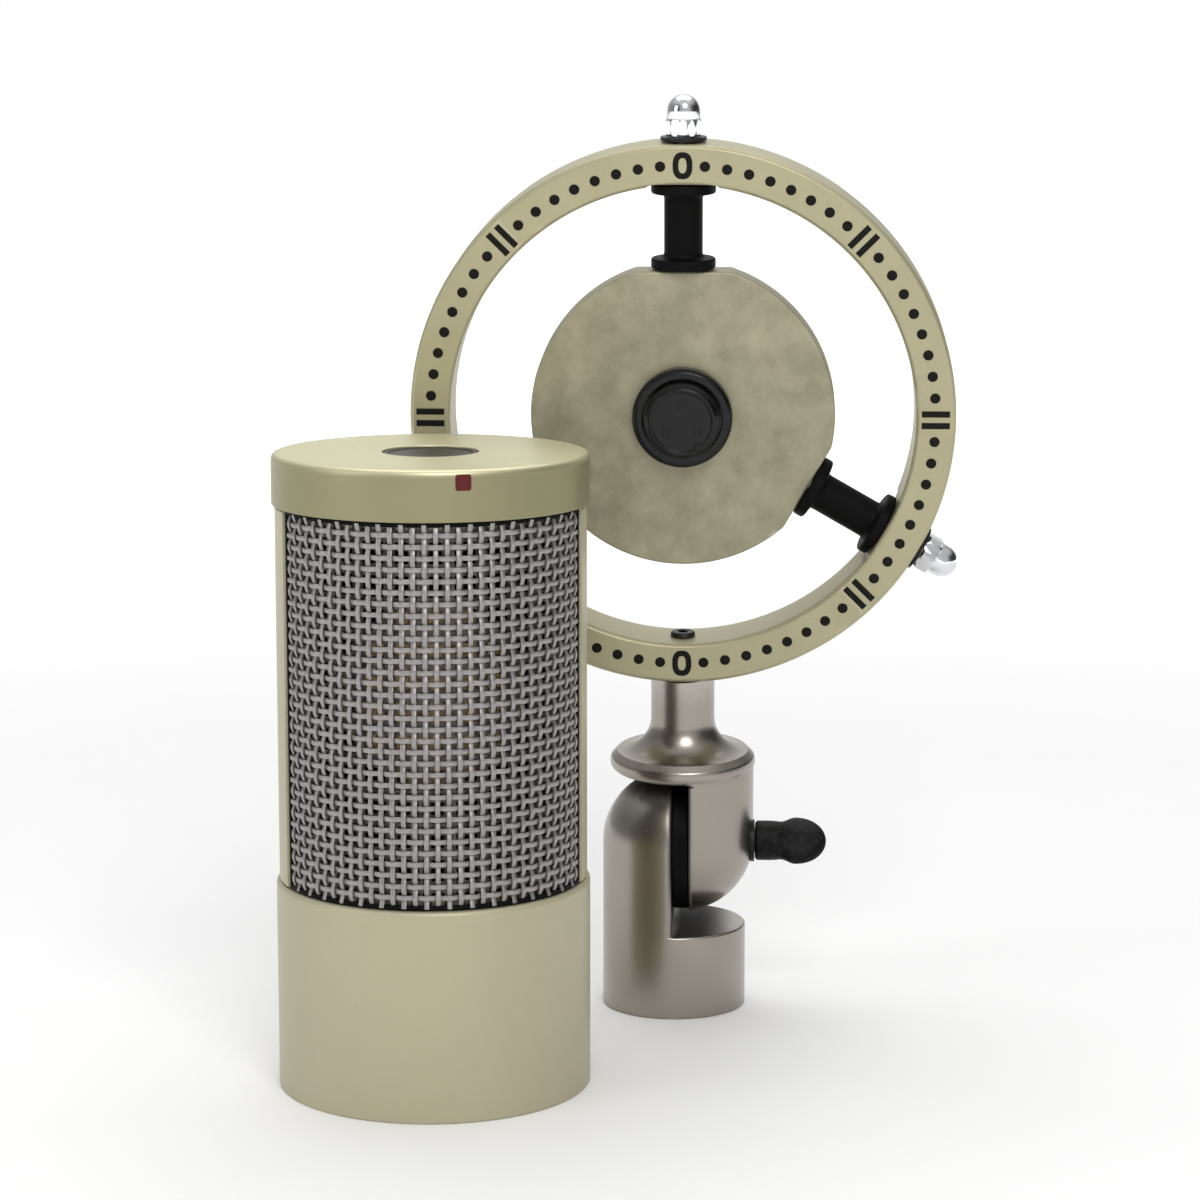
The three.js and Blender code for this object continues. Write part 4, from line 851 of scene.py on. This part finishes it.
onDisc("connectorShell", connectorShell(), "satinNickel", "rear_connector_shell")
onDisc("connectorInsert", connectorInsert(), "blackPlastic", "rear_connector_insert")
onDisc("connectorPins", connectorPins(), "gold", "rear_connector_pins")
print("disc, hub and connector ready")

# rubber isolators between the ring and the disc; on the real thing they shear, here each is one fixed shape on no
# body
isolator = Sizes({"low": 29.3, "high": 46.3, "flange": 6.45, "flangeThick": 2.1, "neck": 3.85, "fillet": 1.9,
                  "edge": 0.55, "steps": 72})
isolatorEnds = isolator.low + isolator.flangeThick, isolator.high - isolator.flangeThick


# two flanges with a neck between them and fillets where they meet: that section turned
def isolatorShape():
    s, (foot, head) = isolator, isolatorEnds
    corners = [(0, s.low), (s.flange, s.low), (s.flange, foot), (s.neck, foot), (s.neck, head),
               (s.flange, head), (s.flange, s.high), (0, s.high)]
    radii = [0, s.edge, s.edge, s.fillet, s.fillet, s.edge, s.edge, 0]
    profile = roundCorners(corners, radii, steps=7, closed=False)
    fine = np.linspace(0, len(profile) - 1, 3 * len(profile))       # more rows, for the bend
    rows = np.arange(len(profile))
    return turned(np.stack([np.interp(fine, rows, column) for column in profile.T], -1), s.steps, False)


for side, axes in spokeAxes.items():
    rubber = makePiece(f"isolator_{side}_rubber", isolatorShape(), axes, "blackRubber", None,
                       f"isolator_{side}")
    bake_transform(rubber)
print("isolators ready")

# the swivel
swivel = Sizes({
    "radius": 14.75, "height": 17.2, "pivot": 34.5, "baseFlat": 0.25, "soft": 1.5, "stepEdge": 0.45,
    "footEdge": 0.6, "boreRadius": 8.24, "boreTop": 14.7, "boreEdge": 0.3, "steps": 180,
    "lugRadius": 14.6, "lugFlat": 1.6, "ledgeLow": 15.65, "ledgeFoot": 13.3, "ledgeMiddle": 17.25,
    "ledgeRadius": 14.9, "ledgeRound": 1.6, "shoulder": (14.72, 18.4), "flareFoot": (13.46, 19.65), "flareTop": 26.65,
    "neck": 6.5,
    "ringCentre": 90.0, "ringSeat": 54.75,
})
whole = -99.0       # a flat so far out that it cuts nothing off


# larger of two values with the corner between them rounded off
def softLarger(a, b, soft):
    soft = np.maximum(soft, 1e-6)
    return np.maximum(a, b) + 0.5 * soft * np.clip(1 - np.abs(a - b) / (2 * soft), 0, 1) ** 2


# from 0 to 1 as the value goes from low to high
def rising(value, low, high):
    t = np.clip((value - low) / (high - low), 0, 1)
    return t * t * (3 - 2 * t)


# levels of a round body, part of each cut off by a flat: across = the larger of the circle's and the flat's
# distance, along = the circle's own; on the open side a level may have another radius than on the lug's side
def lugBody(levels, side, flatAt, seat=None, split=None):
    lugSide, openSide, height, flat = np.asarray(levels, float).T[:, :, None]
    angle = roundTurn(swivel.steps)[None, :]
    radius = lugSide + (openSide - lugSide) * rising(flatAt - lugSide * np.cos(angle), -0.8, 0.8)
    across = radius * np.cos(angle)
    along = radius * np.sin(angle)
    # painted shade: the farther a point lies behind the flat, inside the slot, the darker
    depth = np.clip((flat - across) / 1.5, 0, 1) * (flat > whole)
    across = np.where(flat > whole, softLarger(across, flat, np.minimum(swivel.soft, radius * 0.5)), across)
    z = np.broadcast_to(height, across.shape)
    if seat is not None:
        z = np.where(z > seat[1] - 0.01, seat[0] - np.sqrt(seat[2] ** 2 - across**2), z)
    points = np.stack([side * across, along, z], -1)
    rows = np.arange(len(height), dtype=float)
    if split is not None:      # more rows across one long face
        rows = np.sort(np.concatenate([rows, split + np.linspace(0, 1, 9)[1:-1]]))
    before = np.minimum(rows.astype(int), len(height) - 2)
    share = (rows - before)[:, None]
    points = points[before] * (1 - share[..., None]) + points[before + 1] * share[..., None]
    depth = depth[before] * (1 - share) + depth[before + 1] * share
    return points.reshape(-1, 3), gridFaces(len(rows), swivel.steps), depth.ravel()


# a drilled foot, an upright half behind a flat, and a half dome over it, level by level; the painted shade is darkest
# in the slot, under the ledge, and on the step near the slot
def swivelBase():
    s = swivel
    r, top, pivot = s.radius, s.height, s.pivot
    bow = np.radians(np.linspace(0, 90, 6))
    foot = [(r - s.footEdge * (1 - np.sin(a)), s.footEdge * (1 - np.cos(a))) for a in bow]
    bottom = [(0, s.boreTop), (s.boreRadius, s.boreTop), (s.boreRadius, s.boreEdge),
              (s.boreRadius + s.boreEdge, 0), *foot]
    levels = [(x, x, z, whole) for x, z in bottom]
    levels += [(r, r, z, whole) for z in np.linspace(3, top - s.stepEdge, 5)]
    edge = [(s.stepEdge * (1 - np.cos(a)), s.stepEdge * (1 - np.sin(a))) for a in bow[1:]]
    levels += [(r, r - inset, top - below, whole) for inset, below in edge]
    step = len(levels) - 1
    levels += [(r, r, z, s.baseFlat) for z in (top, *np.linspace(top + 0.4, pivot, 12))]
    dome = np.radians(np.linspace(4, 90, 24))
    levels += [(max(r * np.cos(a), 0.02),) * 2 + (pivot + r * np.sin(a), s.baseFlat) for a in dome]
    points, quads, depth = lugBody(levels, -1, s.baseFlat, split=step)
    across, along, z = points.T
    depth = depth * (1 - 0.75 * rising(np.hypot(along, z - pivot), 14.0, 19.0))     # painted shade lighter at the corners
    # a painted shadow under the ledge, and painted shade on the step near the slot
    shadowBelowLedge = rising(z, pivot + 9.0, pivot + 12.5)
    onStep = (np.abs(z - top) < 0.05) & (across > 0.02 - s.baseFlat)
    return (points, quads), np.maximum.reduce([depth, shadowBelowLedge, onStep * (1 - rising(across, 5.5, 13.5))])


# a lug with a half dome below, a ledge, a flare in to the neck, and a seat cut to the ring, level by level
def swivelHead():
    s = swivel
    r = s.lugRadius
    dome = np.radians(np.linspace(-90, -4, 24))
    levels = [(max(r * np.cos(a), 0.02),) * 2 + (r * np.sin(a), s.lugFlat) for a in dome]
    levels += [(r, r, z, s.lugFlat) for z in np.linspace(0, s.ledgeLow - 0.3, 8)]
    levels += [(r, s.ledgeFoot, s.ledgeLow, s.lugFlat), (r, s.ledgeFoot, s.ledgeLow, whole)]
    under = [(s.ledgeFoot + s.ledgeRound * np.sin(a), s.ledgeMiddle - s.ledgeRound * np.cos(a))
             for a in np.radians(np.linspace(15, 90, 7))]
    levels += [(max(r, x), x, z, whole) for x, z in under]
    rim = roundCorners([(s.ledgeRadius, s.ledgeMiddle), (s.ledgeRadius - 0.05, s.ledgeMiddle + 0.5), s.shoulder,
                        s.flareFoot], [0, 0.4, 1.2, 0], closed=False)
    quarter = np.radians(np.linspace(6, 90, 16))
    footR, footZ = s.flareFoot
    flare = np.stack([footR - (footR - s.neck) * np.sin(quarter),
                      s.flareTop - (s.flareTop - footZ) * np.cos(quarter)], -1)
    neckTop = s.ringCentre - s.ringSeat
    levels += [(x, x, z, whole) for x, z in [*rim, *flare, (s.neck, s.flareTop + 4), (s.neck, neckTop),
                                             (s.neck * 0.6, neckTop), (0, neckTop)]]
    points, quads, depth = lugBody(levels, 1, s.lugFlat, seat=(s.ringCentre, neckTop, s.ringSeat))
    across, along, z = points.T
    # painted shade: the slot, the lug's lower edge and the underside of the ledge are darkened
    inside = s.ledgeRadius - np.hypot(across, along)
    shadeUnderLedge = rising(inside, 0.2, 1.2) * (np.abs(z - s.ledgeLow - 0.3) < 0.6)
    return (points, quads), np.maximum.reduce([depth, rising(-z, 11.0, 14.0), shadeUnderLedge])


# a box section turned, a little wider and thicker than its node, so that its black stands in for the shade in the
# gaps beside it
def frictionWasher():
    low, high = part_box("friction_washer")
    outer = (high.y - low.y) / 2 / mm + 0.4
    half = (high.x - low.x) / 2 / mm + 0.15
    middle = (high.x + low.x) / 2 / mm - baseMiddle.x - stance.headOffset
    return lathe(boxCorners(2.8, outer, middle - half, middle + half), [0.1, 0.3, 0.3, 0.1], 96)


thread = Sizes({"outer": 7.94, "bore": 4.76, "low": 0.6, "high": 10.6, "pitch": 1.27, "depth": 0.55, "rows": 8,
                "lead": 0.5, "steps": 72})


# the bore's radius is a saw along height, shifted by one pitch a turn
def threadAdapter():
    t = thread
    z = np.linspace(t.low + t.lead, t.high - t.lead, int((t.high - t.low - 1.0) / t.pitch * t.rows))[:, None]
    angle = roundTurn(t.steps)[None, :]
    saw = np.abs(((z / t.pitch - angle / fullTurn) % 1) - 0.5) * 2
    ends = roundCorners(boxCorners(t.bore + 0.6, t.outer, t.high, t.low), [0.1, 0.3, 0.3, 0.1])
    radius = np.concatenate([t.bore + t.depth * saw, np.broadcast_to(ends[:, :1], (len(ends), t.steps))])
    return onGrid(radius, angle, np.concatenate([z, ends[:, 1:]]), True)


for name, (shape, shade), axes, body, node in (
        ("swivelBase", swivelBase(), baseAxes, "stand_base", "swivel_base"),
        ("swivelHead", swivelHead(), headAxes, "tilting_ring", "swivel_head")):
    makePiece(name, shape, axes, "satinNickel", body, node, sharp=38, shade=shade)
makePiece("frictionWasher", frictionWasher(), clampAxes, "blackRubber", "stand_base", "friction_washer")
makePiece("threadAdapter", threadAdapter(), baseAxes, "brass", "stand_base", "thread_adapter")

# the thumb screw and its washer
thumb = Sizes({
    "low": 15.0, "hub": 4.1, "waistAt": 20.8, "waistDepth": 0.4, "waistThin": 0.1, "waistLong": 1.3,
    "tip": 29.7, "halfWide": 5.6, "halfThick": 2.5, "turn": 42, "steps": 64, "washer": (2.8, 4.4, 14.0, 14.9),
})


# a round hub that narrows and then widens one way and thins the other, and closes round its tip;
# each section is an ellipse
def thumbGrip():
    t = thumb
    late = 0.62 + 0.38 * np.sin(np.radians(np.linspace(-106.6, 90, 66)))
    s = np.clip(np.concatenate([np.linspace(0, 0.62, 36), late[36:]]), 0, 1)
    z = t.low + s * (t.tip - t.low)
    ease = rising(z - t.low, 4.0, 8.5)
    closing = np.sqrt(np.clip(1 - np.clip((s - 0.55) / 0.45, 0, 1) ** 2.2, 0, 1))
    waist = np.exp(-(((z - t.waistAt) / t.waistLong) ** 2))
    foot = 0.86 + 0.14 * np.clip((z - t.low) / 0.5, 0, 1) ** 0.5
    wide, thin = (np.maximum(((t.hub + (half - t.hub) * ease) * closing - narrow * waist) * foot, 0)[:, None]
                  for half, narrow in ((t.halfWide, t.waistDepth), (t.halfThick, t.waistThin)))
    angle = roundTurn(t.steps)[None, :]
    pole = np.zeros((1, t.steps))
    x, y = (np.concatenate([pole, rows, pole]) for rows in (wide * np.cos(angle), thin * np.sin(angle)))
    z = np.concatenate([[t.low], z, [t.tip]])[:, None] + 0 * angle
    return np.stack([x, y, z], -1).reshape(-1, 3), gridFaces(len(z), t.steps)


# the washer takes dark steel as painted shade, where it sits between the thumb screw and the lug
makePiece("clampWasher", lathe(boxCorners(*thumb.washer), 0.2, 48), clampAxes, "darkSteel", "clamp_travel",
          "clamp_washer")
makePiece("thumbGrip", movedTo(thumbGrip(), turnMatrix("Z", 90 + thumb.turn)), clampAxes, "thumbPlastic",
          "thumb_screw", "thumb_grip", sharp=60)
print("swivel ready")

# floor, light and camera
studio = Sizes({
    "floor": (0.93, 0.93, 0.93), "floorPale": (0.95, 0.95, 0.95), "floorRough": 0.9, "farGlow": 0.75,
    "glowFrom": 0.25, "glowTo": 1.2, "reach": 4.0,
    "cameraAt": (0.0312, -0.666, 0.199), "aimAt": (-0.005, 0.0, 0.0905), "lens": 104.0, "sensor": 36.0,
})
scene.view_settings.view_transform = "Standard"


def place(name, data, at, to):
    holder = bpy.data.objects.new(name, data)
    holder.location = at
    holder.rotation_mode = "QUATERNION"
    holder.rotation_quaternion = (Vector(to) - Vector(at)).to_track_quat("-Z", "Y")
    scene.collection.objects.link(holder)
    return holder


# pale, and glowing more the farther it is, so that it meets the white room without a line
def makeFloor():
    finish = bpy.data.materials.new("paleFloor")
    finish.use_nodes = True
    tree = finish.node_tree
    sockets = tree.nodes["Principled BSDF"].inputs
    point = objectPoint(tree)
    away = addNode(tree, "ShaderNodeVectorMath", {"operation": "LENGTH"}, n0=point).outputs["Value"]
    far = smoothStep(tree, away, studio.glowFrom, studio.glowTo)
    tone = mixColour(tree, noiseAt(tree, point, 30.0), studio.floor, studio.floorPale)
    tree.links.new(tone, sockets["Base Color"])
    tree.links.new(mixColour(tree, far, (0, 0, 0), (1, 1, 1)), sockets["Emission Color"])
    sockets["Roughness"].default_value = studio.floorRough
    sockets["Emission Strength"].default_value = studio.farGlow
    mesh, r = bpy.data.meshes.new("floor"), studio.reach
    mesh.from_pydata([(-r, -r, 0), (r, -r, 0), (r, r, 0), (-r, r, 0)], [], [(0, 1, 2, 3)])
    mesh.materials.append(finish)
    floor = bpy.data.objects.new("floor", mesh)
    scene.collection.objects.link(floor)


makeFloor()

# the room: white for the eye, and for the light a ring of lighter and darker walls under a pale ceiling;
# walls are degrees from the front to the right, and brightness
room = Sizes({
    "walls": [(-180, 1.7), (-150, 0.85), (-105, 0.50), (-78, 0.45), (-64, 0.08), (-36, 0.08), (-20, 0.80),
              (14, 1.05), (46, 0.85), (64, 0.22), (84, 0.08), (126, 0.08), (152, 0.65), (180, 1.7)],
    "ceiling": 1.15, "ceilingFrom": 0.35, "ceilingTo": 0.9, "level": 0.58,
})


def buildRoom():
    world = bpy.data.worlds.new("studioRoom")
    scene.world = world
    world.use_nodes = True
    tree = world.node_tree
    direction = tree.nodes.new("ShaderNodeTexCoord").outputs["Generated"]
    parts = addNode(tree, "ShaderNodeSeparateXYZ", Vector=direction).outputs
    angle = mathNode(tree, "ARCTAN2", parts["X"], times(tree, parts["Y"], -1.0))
    along = mathNode(tree, "ADD", mathNode(tree, "DIVIDE", angle, fullTurn), 0.5)
    ramp = addNode(tree, "ShaderNodeValToRGB", Fac=along)
    ramp.color_ramp.interpolation = "EASE"
    stops = ramp.color_ramp.elements
    while len(stops) < len(room.walls):
        stops.new(0.5)
    for stop, (degrees, level) in zip(stops, room.walls):
        stop.position = degrees / 360 + 0.5
        stop.color = (level * room.level,) * 3 + (1,)
    rise = smoothStep(tree, parts["Z"], room.ceilingFrom, room.ceilingTo)
    lit = mixColour(tree, rise, ramp.outputs["Color"], (room.ceiling * room.level,) * 3)
    seen = tree.nodes.new("ShaderNodeLightPath").outputs["Is Camera Ray"]
    tree.links.new(mixColour(tree, seen, lit, (1.0, 1.0, 1.0)), tree.nodes["Background"].inputs["Color"])


buildRoom()

softBoxes = {
    "keyBox": {"at": (0.22, -0.90, 0.85), "to": (0, 0, 0.08), "size": (0.5, 0.5), "power": 5.4},
    "fillBox": {"at": (-0.75, -0.50, 0.40), "to": (0, 0, 0.08), "size": (0.4, 0.6), "power": 1.3},
    "topBox": {"at": (0.0, 0.30, 0.95), "to": (0, 0, 0.05), "size": (0.9, 0.7), "power": 3.6},
}
for name, box in softBoxes.items():
    lamp = bpy.data.lights.new(name, "AREA")
    lamp.shape = "RECTANGLE"
    lamp.size, lamp.size_y = box["size"]
    lamp.energy = box["power"]
    place(name, lamp, box["at"], box["to"])

lens = bpy.data.cameras.new("camera")
lens.sensor_width, lens.lens = studio.sensor, studio.lens
scene.camera = place("camera", lens, studio.cameraAt, studio.aimAt)
